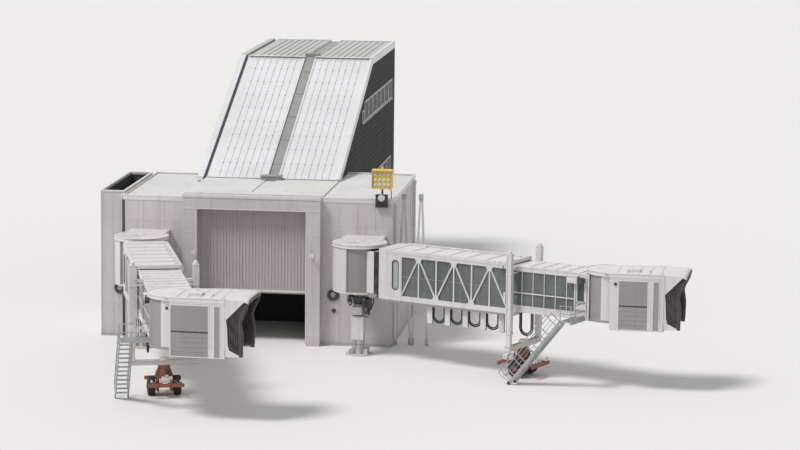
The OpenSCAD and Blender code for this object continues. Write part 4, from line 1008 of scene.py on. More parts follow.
class GATE_OT_rotundas(ArmOperator, bpy.types.Operator):
    """Slat curtains, roof rims, pedestal fittings and gaiters of the rotundas"""

    bl_idname = "gate.rotundas"
    bl_label = "Rotundas"

    curtains = {"right": ((39.5, 82.0), (-198.0, -39.5)), "left": ((39.5, 130.0), (-158.0, -39.5))}

    def dress(self, side, b, arms):
        place, centre = arm_place(side), centre_place(side)
        turret, tunnel = side + "_rotunda_turret", side + "_outer_tunnel"
        slats = Pieces(place)
        for first, last in self.curtains[side]:
            for turn in every(3.0, first + 1.5, last - 1.0):
                slats.arc(arms.drum - 0.002, arms.drum + 0.0032, arms.floor + 0.012, arms.roof - 0.012,
                          *about(turn, 1.15), 1.2)
        slats.done(side + "_rotunda_slats", "grey_panels", turret)

        sill = Pieces(place)
        sill.box((0.98, 1.085), both(0.5), (arms.floor - 0.002, arms.floor + 0.01))
        for k in range(12):
            sill.box((0.985, 1.08), (-0.48 + k * 0.084, -0.46 + k * 0.084), (arms.floor + 0.01, arms.floor + 0.014))
        sill.done(side + "_throat_sill", "galvanised", turret, edge=0.002)

        # the dark strips behind the white cheeks are rubber seals, dark also as painted shadow of the throat's gap
        cheeks, seals_and_shadow = Pieces(place), Pieces(place)
        for s in (-1, 1):
            near, far = s * 0.57, s * 0.576
            cheeks.box((0.625, 0.895), (near, far), (arms.floor + 0.01, arms.roof - 0.06))
            seals_and_shadow.box((0.897, 1.058), (near, far), (arms.floor + 0.01, arms.roof - 0.06))
        cheeks.done(side + "_throat_cheeks", "white_paint", turret, "grey_steel")
        seals_and_shadow.done(side + "_throat_seals", "rubber", turret)

        rim = Pieces(centre)
        ring = [polar(0.903, math.radians(t)) for t in range(-176, -3, 4)]
        rim.tube([(x, y, arms.roof + 0.012) for x, y in ring], 0.016, 8)
        rim.tube([(x, y, arms.roof + 0.11) for x, y in ring], 0.014, 8)
        for k in range(7):
            t = math.radians(-160 + k * 23.4)
            rim.bar((*polar(0.05, t), arms.roof + 0.116), (*polar(0.895, t), arms.roof + 0.116), 0.022, 0.014)
        rim.turned((0, 0, arms.roof + 0.11), (0, 0, arms.roof + 0.16), [(0, 0.13), (0.03, 0.12), (0.045, 0.06)], 32)
        for s in both(0.685):
            rim.box(about(s, 0.015), (0.2, b.wing_y - 0.02), (arms.roof + 0.1, arms.roof + 0.125))
        rim.done(side + "_rotunda_roof_rim", "white_paint", edge=0.003)

        foot = Pieces(centre)
        foot.bolts([(*polar(0.38, t), 0.04) for t in turns(8)], (0, 0, 1), 0.02, 0.03)
        for z in (0.34, 1.2, 1.86):
            foot.rod((0, 0, z), (0, 0, z + 0.03), 0.203, 48)
        pipe = ((1, 0.04), (1, 1.6), (1.5, 1.78), (1.9, 1.96))
        for t, thick in ((-150, 0.014), (-120, 0.02), (-60, 0.014), (-30, 0.02)):
            foot.tube([(*polar(0.218 * out, math.radians(t)), z) for out, z in pipe], thick)
        foot.done(side + "_pedestal_pipes", "galvanised")
        cabinets = Pieces(centre)
        for low, high in (((-0.21, -0.4, 0.55), (0.19, -0.18, 1.3)), ((0.18, -0.16, 0.75), (0.32, 0.16, 1.25)),
                          ((-0.16, -0.36, 1.38), (0.12, -0.18, 1.62))):
            cabinets.block(low, high)
            cabinets.box((low[0] - 0.01, high[0] + 0.01), (low[1] - 0.012, high[1]), (high[2], high[2] + 0.016))
        cabinets.box((-0.19, 0.17), (-0.406, -0.4), (0.57, 1.28))
        cabinets.box((0.14, 0.155), (-0.418, -0.406), (0.88, 0.98))
        cabinets.done(side + "_pedestal_cabinets", "white_paint", edge=0.006)
        gear = Pieces(centre)
        gear.turned((0, 0, 1.7), (0, 0, 1.97), [(0, 0.22), (0.05, 0.26), (0.2, 0.36), (0.27, 0.37)], 32)
        for low, high in (((0.2, -0.3, 1.62), (0.44, -0.1, 1.9)), ((0.24, -0.08, 1.5), (0.4, 0.12, 1.72)),
                          ((-0.38, -0.2, 1.78), (-0.22, 0.04, 1.95)),
                          ((0.3, -0.24, 1.36), (0.38, -0.14, 1.6))):
            gear.block(low, high)
        for k, (x, drop) in enumerate(((0.34, 0.5), (0.42, 0.38), (0.26, 0.6), (-0.28, 0.3))):
            loop = [(x * 0.6, -0.26 - 0.02 * k, 1.94), (x * 0.8, -0.3, 1.94 - drop * 0.6),
                    (x, -0.3 + 0.03 * k, 1.94 - drop),
                    (x * 1.15, -0.24, 1.94 - drop * 0.6), (x * 1.2, -0.16, 1.92)]
            gear.tube(smooth_line(loop), 0.02)
        gear.done(side + "_rotunda_gear", "dark_steel", edge=0.006)

        frame_line = [(0.565, arms.floor - 0.02), (0.565, arms.floor + 0.7), (0.56, arms.roof - 0.1),
                      (0.5, arms.roof - 0.055), (0.0, arms.roof - 0.05)]
        frame_line = [(-v, z) for v, z in frame_line[:-1]] + [(v, z) for v, z in frame_line[::-1]]
        rows = []
        for i, u in enumerate(steps(1.03, 1.15, 12)):
            swell = 0.012 * abs(math.sin(math.pi * i / 4))
            rows.append([(u, v * (1 + swell), z + (swell if z > 3.5 else 0)) for v, z in frame_line])
        gaiter = Pieces(place).skin(rows).done(side + "_throat_gaiter", "canopy_fabric", turret, tidy=False)
        thicken(gaiter, 0.004)
        gaiter.parent = None
        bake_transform(gaiter)


class GATE_OT_outer_tunnels(ArmOperator, bpy.types.Operator):
    """Roof seams, gussets, slot windows, end hoops and under-floor beams of the outer tunnels"""

    bl_idname = "gate.outer_tunnels"
    bl_label = "Outer tunnels"

    def dress(self, side, b, a):
        start, end, half, top, low = a.a_start, a.a_end, a.a_half, a.a_top, a.a_low
        first = start + 0.9
        bay = (end - 0.06 - first) / 6
        place, body = arm_place(side), side + "_outer_tunnel"
        roof = Pieces(place)
        for k in range(7):
            u = start + 0.5 + k * 0.7
            roof.box(about(u, 0.014), both(half - 0.03), (top - 0.001, top + 0.018))
        for s in both(half):
            inner, outer = s - math.copysign(0.03, s), s + math.copysign(0.014, s)
            roof.box((start + 0.35, end), (inner, outer), (top - 0.012, top + 0.026))
            roof.box((start + 0.35, end), (s, outer), (top - 0.09, top - 0.01))
        roof.tube([(1.5, 0.56, top + 0.03), (end - 0.2, 0.56, top + 0.03), (end - 0.1, 0.56, top + 0.015)], 0.012)
        roof.tube([(1.5, 0.6, top + 0.03), (end - 0.4, 0.6, top + 0.03)], 0.009)
        for k in range(8):
            roof.box((1.6 + 0.58 * k, 1.63 + 0.58 * k), (0.53, 0.63), (top, top + 0.042))
        roof.done(side + "_outer_roof_seams", "white_paint", body, edge=0.003)

        hoop = Pieces(place)
        for s in both(half):
            inner, outer = s - math.copysign(0.05, s), s + math.copysign(0.022, s)
            hoop.box((end - 0.075, end + 0.012), (inner, outer), (low - 0.02, top + 0.02))
            hoop.bolts([(end - 0.03, s + math.copysign(0.022, s), low + 0.15 + 0.22 * k) for k in range(7)],
                       (0, math.copysign(1, s), 0))
        hoop.box((end - 0.075, end + 0.012), both(half), (top - 0.06, top + 0.045))
        hoop.box((end - 0.075, end + 0.012), both(half), (low - 0.03, low + 0.035))
        hoop.done(side + "_outer_end_hoop", "white_paint", body, edge=0.005)

        gussets = Pieces(place)
        lo, hi = low + 0.16, a.roof - 0.11
        for s in (-1, 1):
            face = s * (half - 0.006)
            near, far = face, face + s * 0.012
            for k in range(7):
                u, up = first + k * bay, k % 2 == 1
                z, way = (hi, -1) if up else (lo, 1)
                wide = 0.13 if 0 < k < 6 else 0.1
                outline = [(u - wide, z), (u + wide, z), (u + wide * 0.45, z + way * 0.15),
                           (u - wide * 0.45, z + way * 0.15)]
                if u + wide < end and u - wide > first - 0.1:
                    gussets.side_plan(outline, near, far)
                heads = ((-0.06, 0.03), (0.06, 0.03), (-0.03, 0.1), (0.03, 0.1))
                gussets.bolts([(u + d, far, z + way * e) for d, e in heads if first < u + d < end],
                              (0, s, 0), 0.009, 0.006)
                # thin handrail and glazing bar of the bay
                if k < 6:
                    gussets.box((u + 0.03, u + bay - 0.03), (s * (half - 0.07), s * (half - 0.05)),
                                (low + 0.78, low + 0.81))
                    for j in (1, 2):
                        gussets.box(about(u + bay * j / 3, 0.009), (s * (half - 0.07), s * (half - 0.055)), (lo, hi))
        gussets.done(side + "_lattice_gussets", "white_paint", body)

        beams = Pieces(place)
        for k in range(7):
            u = 1.75 + 0.66 * k
            beams.box(about(u, 0.035), both(half - 0.02), (low - 0.055, low + 0.001))
        for s in both(half - 0.03):
            beams.box((start + 0.15, end - 0.08), about(s, 0.03), (low - 0.07, low + 0.001))
        for k in range(6):
            u, d = 1.75 + 0.66 * k, 1 if k % 2 else -1
            beams.bar((u, d * -0.66, low - 0.02), (u + 0.66, d * 0.66, low - 0.02), 0.04, 0.012)
        beams.done(side + "_outer_floor_beams", "grey_panels", body, "painted_steel")

        slots, panes = Pieces(place), Pieces(place)
        for s in (-1, 1):
            u, z0, z1, face = start + 0.69, low + 0.47, low + 1.2, s * (half - 0.004)
            loop = [(u + 0.116 * math.cos(t), face, (z1 if math.sin(t) >= 0 else z0) + 0.116 * math.sin(t))
                    for t in (math.pi * (k + 0.5) / 12 for k in range(24))]
            slots.tube(loop, 0.016, 8, closed=True)
            panes.box(about(u, 0.109), (s * (half - 0.03), s * (half - 0.022)), (z0 - 0.1, z1 + 0.1))
            for z in (low + 0.12, a.roof - 0.08):
                slots.bolts([(start + 0.36 + 0.13 * k, s * half * 0.998, z) for k in range(4)], (0, s, 0), 0.009, 0.005)
        slots.done(side + "_slot_gaskets", "rubber", body)
        panes.done(side + "_slot_panes", "frosted_pane", body)

        lamps = Pieces(place)
        for s in (-1, 1):
            lamps.box((end - 0.35, end - 0.2), (s * (half + 0.014), s * (half + 0.09)), (top - 0.16, top - 0.09))
            lamps.turned((end - 0.275, s * (half + 0.055), top - 0.16), (end - 0.275, s * (half + 0.055), top - 0.2),
                         [(0, 0.05), (0.025, 0.045), (0.04, 0.02)], 20)
        lamps.done(side + "_outer_lamps", "lamp_glass", body)


class GATE_OT_inner_tunnels(ArmOperator, bpy.types.Operator):
    """Roof seams, transoms, the door and its lamp box on the inner tunnels"""

    bl_idname = "gate.inner_tunnels"
    bl_label = "Inner tunnels"

    def dress(self, side, b, a):
        half, top, low, end = a.b_half, a.b_top, a.b_low, a.b_end
        place, body = inner_place(side), side + "_inner_tunnel"
        shown = a.a_end + 0.03 - (a.left_out if side == "left" else 0.0)
        roof = Pieces(place)
        for u in every(-0.46, end - 0.38, shown + 0.1):
            roof.box(about(u, 0.012), both(half - 0.03), (top - 0.001, top + 0.02))
        for s in both(half):
            inner, outer = s - math.copysign(0.03, s), s + math.copysign(0.012, s)
            roof.box((shown, end - 0.45), (inner, outer), (top - 0.01, top + 0.022))
        for s in (-1, 1):
            near, far = s * (half - 0.006), s * (half + 0.008)
            for z0, z1 in ((low + 0.61, low + 0.65), (low + 0.2, low + 0.225), (low, low + 0.05)):
                roof.box((1.7, a.stair_u + 0.02 if s < 0 else end - 0.3), (near, far), (z0, z1))
        roof.tube([(6.1, -0.5, top + 0.012), (8.1, -0.5, top + 0.012), (8.16, -0.56, top + 0.012)], 0.011)
        roof.done(side + "_inner_roof_seams", "white_paint", body, edge=0.002)

        door = Pieces(place)
        u0, face = a.stair_u + 0.07, -half
        z0, z1 = low + 0.07, top - 0.135
        for low_u, high_u in ((u0 - 0.03, u0 + 0.012), (u0 + 0.368, u0 + 0.41)):
            door.box((low_u, high_u), (face - 0.014, face + 0.05), (z0, z1 + 0.04))
        door.box((u0, u0 + 0.38), (face - 0.014, face + 0.05), (z1, z1 + 0.04))
        door.box((u0 + 0.014, u0 + 0.366), (face + 0.012, face + 0.034), (z0 + 0.01, z0 + 0.5))
        for low_u, high_u in ((u0 + 0.014, u0 + 0.07), (u0 + 0.31, u0 + 0.366)):
            door.box((low_u, high_u), (face + 0.012, face + 0.034), (z0 + 0.5, z1 - 0.005))
        door.box((u0 + 0.07, u0 + 0.31), (face + 0.012, face + 0.034), (z1 - 0.09, z1 - 0.005))
        door.tube([(u0 + 0.325, face + 0.012, z0 + 0.46), (u0 + 0.325, face - 0.02, z0 + 0.46),
                   (u0 + 0.25, face - 0.02, z0 + 0.46)], 0.008)
        door.done(side + "_service_door", "white_paint", body, edge=0.003)
        Pieces(place).box((u0 + 0.06, u0 + 0.32), (face + 0.02, face + 0.028),
                          (z0 + 0.49, z1 - 0.08)).done(side + "_door_pane", "window_glass", body)

        box = Pieces(place)
        box.box((a.stair_u - 0.14, a.stair_u + 0.2), (face - 0.16, face - 0.001), (top - 0.3, top - 0.08))
        box.box((a.stair_u - 0.16, a.stair_u + 0.22), (face - 0.18, face - 0.001), (top - 0.08, top - 0.055))
        box.box((a.stair_u - 0.11, a.stair_u + 0.17), (face - 0.166, face - 0.16), (top - 0.27, top - 0.11))
        box.done(side + "_side_box", "white_paint", body, edge=0.006)
        horn = Pieces(place)
        horn.turned((a.stair_u + 0.36, face, top - 0.2), (a.stair_u + 0.36, face - 0.18, top - 0.2),
                    [(0, 0.03), (0.03, 0.035), (0.05, 0.09), (0.15, 0.11), (0.18, 0.1), (0.18, 0.03)], 28)
        horn.box((a.stair_u + 0.2, a.stair_u + 0.28), (face - 0.06, face - 0.001), (top - 0.26, top - 0.14))
        horn.done(side + "_side_horn", "dark_steel", body)

        grid = Pieces(place)
        v0, v1, z = a.stair_v - a.stair_w, -half - 0.02, low + 0.06
        for k in range(17):
            v = v0 + 0.03 + (v1 - v0 - 0.06) * k / 16
            grid.box((a.stair_u + 0.04, a.stair_u + 0.42), about(v, 0.004), (z, z + 0.012))
        for k in range(7):
            u = a.stair_u + 0.05 + 0.06 * k
            grid.box(about(u, 0.003), (v0 + 0.02, v1), (z, z + 0.009))
        grid.box((a.stair_u + 0.41, a.stair_u + 0.424), (v0, v1), (z, z + 0.09))
        grid.done(side + "_landing_grating", "galvanised", body)


class GATE_OT_cable_trolleys(ArmOperator, bpy.types.Operator):
    """Cable trolley under each outer tunnel: rail, carriers and hanging cables"""

    bl_idname = "gate.cable_trolleys"
    bl_label = "Cable trolleys"

    def dress(self, side, b, a):
        v, low, start, end = -0.54, a.a_low, 1.5, a.a_end - 0.2
        first, first_loop, wide, pitch, carriers = 2.93, 3.355, 0.19, 0.66, 5
        place, body, foot = arm_place(side), side + "_outer_tunnel", low - 0.66
        rail = Pieces(place)
        for half, bottom, top in ((0.02, 0.006, 0.0), (0.005, 0.04, 0.006), (0.02, 0.046, 0.04)):
            rail.box((start, end), about(v, half), (low - bottom, low - top))
        for u in (start, end - 0.015):
            rail.box((u, u + 0.015), about(v, 0.03), (low - 0.05, low))
        for i in range(carriers):
            u = first + pitch * i
            for s in (-1, 1):
                rail.box((u, u + wide), (v + s * 0.03, v + s * 0.044), (foot, low - 0.055))
            rail.box((u, u + wide), about(v, 0.044), (foot, foot + 0.015))
            for at in (u + 0.05, u + 0.15):
                for s in (-1, 1):
                    rail.rod((at, v + s * 0.013, low - 0.055), (at, v + s * 0.025, low - 0.055), 0.018)
                rail.box(about(at, 0.012), about(v, 0.022), (low - 0.08, low - 0.066))
            rail.rod((u + wide / 2, v - 0.055, low - 0.36), (u + wide / 2, v + 0.055, low - 0.36), 0.05, 24)
        made = rail.done(side + "_cable_trolley", "white_paint", body)
        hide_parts(side + "_festoon")

        # two cables in each loop, from carrier to carrier; the first and the last loop hang a little lower
        for i in range(carriers - 1):
            c, z, sag = first_loop + pitch * i, low - 0.34, 0.24 if 0 < i < carriers - 2 else 0.265
            for k, (r, thick) in enumerate(((0.24, 0.026), (0.186, 0.021))):
                loop = [(c - r * math.cos(t), v, z - (sag - 0.24 + r) * math.sin(t) ** 0.85)
                        for t in steps(0, math.pi, 20)]
                line = [(c - r, v, low - 0.045), *loop, (c + r, v, low - 0.045)]
                hang_cable(f"{side}_trolley_cable_{i}_{k}", [place @ Vector(p) for p in line], thick, body)

        # two more between the lift columns and the landing, from the tunnel's floor
        tunnel, top, middle = inner_place(side), a.b_low - 0.002, a.lift_u + 0.385
        for k, (r, thick) in enumerate(((0.23, 0.028), (0.172, 0.021))):
            loop = [(middle - r * math.cos(t), 0.5 + r * math.sin(t)) for t in steps(0, math.pi, 24)]
            line = [tunnel @ Vector((u, v, top - drop)) for u, drop in [(middle - r, 0.0), *loop, (middle + r, 0.0)]]
            hang_cable(f"{side}_end_loop_{k}", line, thick, side + "_inner_tunnel")


class GATE_OT_lifts(ArmOperator, bpy.types.Operator):
    """Caps, plates, screws and hoses of the lift columns and the cross beam"""

    bl_idname = "gate.lifts"
    bl_label = "Lift columns"

    def dress(self, side, b, a):
        u = a.lift_u
        place = inner_place(side)
        column, legs = side + "_inner_tunnel", side + "_lift_legs"
        caps = Pieces(place)
        for s in (-1, 1):
            v = s * a.lift_v
            caps.box(about(u, 0.1), about(v, 0.1), (4.045, 4.075))
            caps.turned((u, v, 4.07), (u, v, 4.17), [(0, 0.07), (0.07, 0.068), (0.1, 0.04)], 24)
            for z in (1.5, 2.32, 3.4):
                caps.box(about(u, 0.1), about(v, 0.1), (z, z + 0.05))
                caps.bolts([(u - 0.1, v + d, z + 0.025) for d in both(0.06)], (-1, 0, 0), 0.01)
                caps.bolts([(u + d, v + s * 0.1, z + 0.025) for d in both(0.06)], (0, s, 0), 0.01)
            caps.box(about(u, 0.12), (s * 0.66, s * 0.88), (3.44, 3.47))
            near, far = sorted((v + s * 0.09, v + s * 0.098))
            caps.box(about(u, 0.06), (near, far), (1.6, 2.2))
            caps.tube([(u - 0.05, v + s * 0.105, 1.55), (u - 0.05, v + s * 0.105, 3.95),
                       (u - 0.05, v + s * 0.06, 4.06)], 0.013)
            caps.box((u - 0.15, u - 0.088), (near - (0.04 if s < 0 else 0.05), far), (2.5, 2.85))
        caps.done(side + "_column_fittings", "white_paint", column, edge=0.003)

        beam = Pieces(place)
        for s in (-1, 1):
            v = s * a.lift_v
            beam.box(about(u, 0.1), about(v, 0.11), (1.1, 1.125))
            beam.bolts([(u + d, v + e, 1.125) for d in both(0.083) for e in both(0.09)], (0, 0, 1), 0.014, 0.014)
            beam.box((u - 0.12, u - 0.075), about(v, 0.06), (0.96, 1.09))
            for k in (0.3, 0.55, 0.75):
                beam.box(about(u, 0.09), about(s * k, 0.008), (0.955, 1.095))
        beam.box(about(u, 0.095), both(1.07), (1.085, 1.1))
        beam.box(about(u, 0.095), both(1.07), (0.95, 0.965))
        beam.turned((u, 0, 1.1), (u, 0, 1.19), [(0, 0.16), (0.03, 0.16), (0.035, 0.13), (0.075, 0.13), (0.09, 0.1)], 40)
        beam.done(side + "_cross_beam_plates", "white_paint", legs, edge=0.004)


class GATE_OT_bogies(ArmOperator, bpy.types.Operator):
    """Motors, guards, lamps and tyres of the drive bogies"""

    bl_idname = "gate.bogies"
    bl_label = "Bogies and wheels"

    def dress(self, side, b, a):
        u, r = a.lift_u, a.wheel
        place = inner_place(side) @ Matrix.Translation((u, 0, 0))
        body = side + "_wheel_bogie"
        red = Pieces(place)
        for s in (-1, 1):
            red.box(about(s * 0.65, 0.012), both(0.55), (0.36, 0.48))
            for v in both(0.5):
                red.bar((s * 0.62, v, 0.42), (s * 0.24, v * 0.42, 0.5), 0.05, 0.05)
            for v in both(0.13):
                red.box(about(s * 0.35, 0.01), about(v, 0.06), (0.36, 0.48))
            red.bolts([(s * 0.662, v, 0.42) for v in (-0.5, -0.25, 0.25, 0.5)], (s, 0, 0), 0.016, 0.014)
            for d in both(0.12):
                red.bar((d, s * 0.24, 0.6), (d * 0.6, s * 0.13, 0.9), 0.02, 0.08)
        turret = [(0, 0.2), (0.03, 0.2), (0.04, 0.162), (0.26, 0.162), (0.27, 0.19), (0.31, 0.19)]
        red.turned((0, 0, 0.62), (0, 0, 0.94), turret, 40)
        red.done(side + "_bogie_frame_plates", "red_oxide", body, edge=0.004)

        motors = Pieces(place)
        for s in (-1, 1):
            at = (s * 0.34, s * 0.05, 0.56)
            motors.turned((at[0], at[1] - 0.17, at[2]), (at[0], at[1] + 0.17, at[2]),
                          [(0, 0.05), (0.01, 0.085), (0.06, 0.085), (0.065, 0.075), (0.27, 0.075), (0.275, 0.085),
                           (0.33, 0.085), (0.34, 0.05)], 32)
            for k in range(9):
                v = at[1] - 0.09 + k * 0.022
                motors.rod((at[0], v, at[2]), (at[0], v + 0.006, at[2]), 0.088, 24)
            motors.box(about(at[0], 0.05), (at[1] - 0.06, at[1] + 0.04), (at[2] + 0.07, at[2] + 0.13))
            motors.box(about(at[0], 0.08), about(at[1], 0.12), (0.455, 0.485))
        motors.box((-0.63, -0.46), both(0.22), (0.49, 0.66))
        motors.box((0.46, 0.6), (-0.2, 0.12), (0.49, 0.6))
        for v in both(0.45):
            motors.turned((0.63, v, 0.52), (0.63, v, 0.6), [(0, 0.035), (0.05, 0.035), (0.08, 0.015)], 20)
        motors.done(side + "_drive_motors", "white_paint", body, edge=0.004)

        hoses = Pieces(place)
        for s in (-1, 1):
            for k in range(3):
                d = 0.02 * k
                line = ((s * 0.3, s * 0.02 + d, 0.68), (s * 0.3, s * 0.05 + d, 0.78), (s * 0.2, s * 0.1 + d, 0.84),
                        (s * 0.17, s * 0.08 + d, 0.74 - d), (s * 0.165, s * 0.02 + d, 0.66))
                hoses.tube(smooth_line(line), 0.009, 8)
        hoses.done(side + "_bogie_pipes", "dark_steel", body)

        for number, s in ((1, 1), (2, -1)):
            wheel_body = side + ("_near_wheel" if number == 1 else "_far_wheel")
            v0, w = s * a.wheel_v, a.wheel_w / 2
            tyre = Pieces(place)
            shoulder = [(0, 0.168), (0.004, 0.2), (-0.002, 0.235), (0.012, r - 0.028), (0.03, r - 0.008),
                        (0.05, r - 0.0005)]
            grooves = [p for d in (0.055, 0.095, 0.135, 0.175)
                       for p in ((d - 0.006, r - 0.0005), (d - 0.004, r - 0.014), (d + 0.004, r - 0.014),
                                 (d + 0.006, r - 0.0005))]
            profile = shoulder + grooves + [(2 * w - d, q) for d, q in shoulder[::-1]]
            tyre.turned((0, v0 - w, r), (0, v0 + w, r), [(max(0.0, min(2 * w, d)), q) for d, q in profile], 72)
            for t in turns(36):
                for d, turn in ((0.03, 0.0), (2 * w - 0.03, 0.087)):
                    spot = Vector((math.cos(t + turn), 0, math.sin(t + turn)))
                    tread = (Vector((0, v, r)) + spot * (r - 0.016) for v in about(v0 - w + d, 0.018))
                    tyre.bar(*tread, 0.022, 0.02, spot)
            tyre = tyre.done(f"{side}_tyre_{number}", "rubber", wheel_body, "tyre")
            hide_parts(f"{side}_wheel_{number}")
            rim = Pieces(place)
            rim.turned((0, v0 - w, r), (0, v0 + w, r),
                       [(0.012, 0.165), (0.02, 0.15), (0.05, 0.14), (0.06, 0.05), (0.17, 0.05), (0.18, 0.14),
                        (0.21, 0.15), (0.218, 0.165)], 48)
            for face, way in ((v0 - w + 0.045, -1), (v0 + w - 0.045, 1)):
                nuts = [(x, face, r + z) for x, z in (polar(0.1, t) for t in turns(8))]
                rim.bolts(nuts, (0, way, 0), 0.012, 0.012)
            rim.done(f"{side}_rim_{number}", "white_paint", wheel_body)


class GATE_OT_cabs(ArmOperator, bpy.types.Operator):
    """Slat curtains, panel frames, roof trim, bumper and lamps of the cabs"""

    bl_idname = "gate.cabs"
    bl_label = "Cabs"

    curtains = {"right": ((24.0, 110.0), (-150.0, -85.0)), "left": ((24.0, 58.0), (-201.0, -85.0))}

    def dress(self, side, b, a):
        half, front, floor = a.cab_half, a.cab_front, a.b_low + 0.06
        top = a.b_top + 0.02
        place, body = cab_place(side), side + "_cab"
        slats = Pieces(place)
        for first, last in self.curtains[side]:
            for turn in every(3.4, first + 1.7, last - 1.2):
                slats.arc(0.717, 0.7245, floor + 0.01, top - 0.005, *about(turn, 1.3), 1.4)
        slats.done(side + "_cab_slats", "grey_panels", body)

        corner = Pieces(place)
        corner.arc(0.7205, 0.727, floor + 0.004, top - 0.002, -108, -85, 3)
        corner.done(side + "_cab_corner", "white_paint", body)

        frames = Pieces(place)
        face, first, last = -half, (0.1 if side == "left" else 0.34), 1.25
        for u0, u1, z0, z1 in ((first, last, a.cab_low + 0.02, top - 0.1), (1.42, 1.6, a.cab_low + 0.02, top - 0.1)):
            for low, high in (((u0 - 0.02, z0 - 0.01), (u0 + 0.01, z1 + 0.02)),
                              ((u1 - 0.01, z0 - 0.01), (u1 + 0.02, z1 + 0.02)),
                              ((u0, z1 - 0.01), (u1, z1 + 0.02)), ((u0, z0 - 0.01), (u1, z0 + 0.02))):
                frames.box((low[0], high[0]), (face - 0.014, face + 0.002), (low[1], high[1]))
        for u0, u1 in ((0.06, first), (last, 1.42), (1.6, front)):
            frames.box((u0, u1), (face - 0.008, face), (a.cab_low + 0.004, floor + 0.02))
        frames.box((1.336, 1.348), (face - 0.006, face), (floor - 0.2, top))
        frames.box((0.06, front), (face - 0.01, face), (top - 0.045, top))
        frames.box((front - 0.02, front), (face - 0.008, face), (a.cab_low, top))
        frames.box((1.63, front), (half, half + 0.008), about(floor, 0.015))
        frames.box((front - 0.02, front), (half, half + 0.008), (a.cab_low, top))
        frames.done(side + "_cab_frames", "white_paint", body, edge=0.002)

        shutter = Pieces(place)
        mid = floor + 0.52
        for z0, z1, count in ((mid + 0.022, top - 0.112, 14), (a.cab_low + 0.034, mid - 0.022, 5)):
            pitch = (z1 - z0) / count
            for k in range(count):
                low, high = z0 + k * pitch, z0 + (k + 0.95) * pitch
                shutter.box((first + 0.012, last - 0.012), (face - 0.006, face - 0.0005), (low, high))
        shutter.box((1.432, 1.588), (face - 0.005, face - 0.0005), (a.cab_low + 0.042, top - 0.112))
        shutter.done(side + "_cab_shutter_slats", "grey_panels", body)
        dark = Pieces(place)
        dark.box((first + 0.012, last - 0.012), (face - 0.009, face), about(mid, 0.022))
        dark.box((first - 0.14, first - 0.06), (face - 0.03, face), (top - 0.25, top - 0.16))
        dark.done(side + "_cab_dark_rail", "dark_steel", body)

        roof = Pieces(place)
        z = a.cab_top
        ring = [polar(0.778, math.radians(t)) for t in range(112, 262, 5)]
        outline = ring + [(0.06, -half - 0.012), (front, -half - 0.012), (front, half + 0.012), (1.61, half + 0.012),
                          (0.3, 0.665)]
        roof.tube([(x, y, z + 0.004) for x, y in outline], 0.014, 8, closed=True)
        roof.tube([(x, y, top + 0.012) for x, y in outline], 0.01, 8, closed=True)
        for k in range(5):
            u = 0.25 + k * 0.34
            v1 = min(half, 0.665 + (u - 0.3) * 0.148) - 0.03
            roof.box(about(u, 0.01), (-half + 0.03, v1), (z - 0.001, z + 0.014))
        roof.box((front - 0.09, front - 0.02), both(half - 0.2), (z, z + 0.035))
        roof.box((0.55, 0.95), (-0.45, -0.1), (z, z + 0.08))
        roof.turned((1.25, -0.3, z), (1.25, -0.3, z + 0.07), [(0, 0.05), (0.04, 0.05), (0.07, 0.02)], 24)
        roof.done(side + "_cab_roof_trim", "white_paint", body)

        sill = Pieces(place)
        reach, side_v = front + 0.18, half - 0.15
        line = [(reach - 0.02, -side_v, floor - 0.06), (reach + 0.03, -side_v + 0.03, floor - 0.06),
                (reach + 0.03, side_v - 0.03, floor - 0.06), (reach - 0.02, side_v, floor - 0.06)]
        sill.tube(smooth_line(line), 0.055, 14)
        sill.done(side + "_bumper_roll", "rubber", body)
        lip = Pieces(place)
        lip.box((front + 0.02, reach - 0.01), both(side_v - 0.02), (floor, floor + 0.012))
        for k in range(14):
            v = -side_v + 0.06 + k * (2 * side_v - 0.12) / 13
            lip.box((front + 0.03, reach - 0.02), about(v, 0.006), (floor + 0.012, floor + 0.017))
        lip.box((front - 0.005, front + 0.012), both(side_v), (a.cab_low + 0.02, a.cab_low + 0.1))
        lip.done(side + "_floor_lip", "galvanised", body, edge=0.002)

        under = Pieces(place)
        for v in (-0.6, -0.2, 0.2, 0.6):
            under.box((0.76, front - 0.05), about(v, 0.03), (a.cab_low + 0.05, a.b_low + 0.001))
        for u in (0.79, 1.2, 1.6):
            under.box(about(u, 0.03), (-half + 0.05, half - 0.05 if u > 1.5 else 0.5),
                      (a.cab_low + 0.07, a.b_low + 0.001))
        under.box((1.0, 1.4), (-0.5, -0.25), (a.cab_low, a.cab_low + 0.06))
        under.done(side + "_cab_floor_beams", "grey_panels", body, edge=0.003)


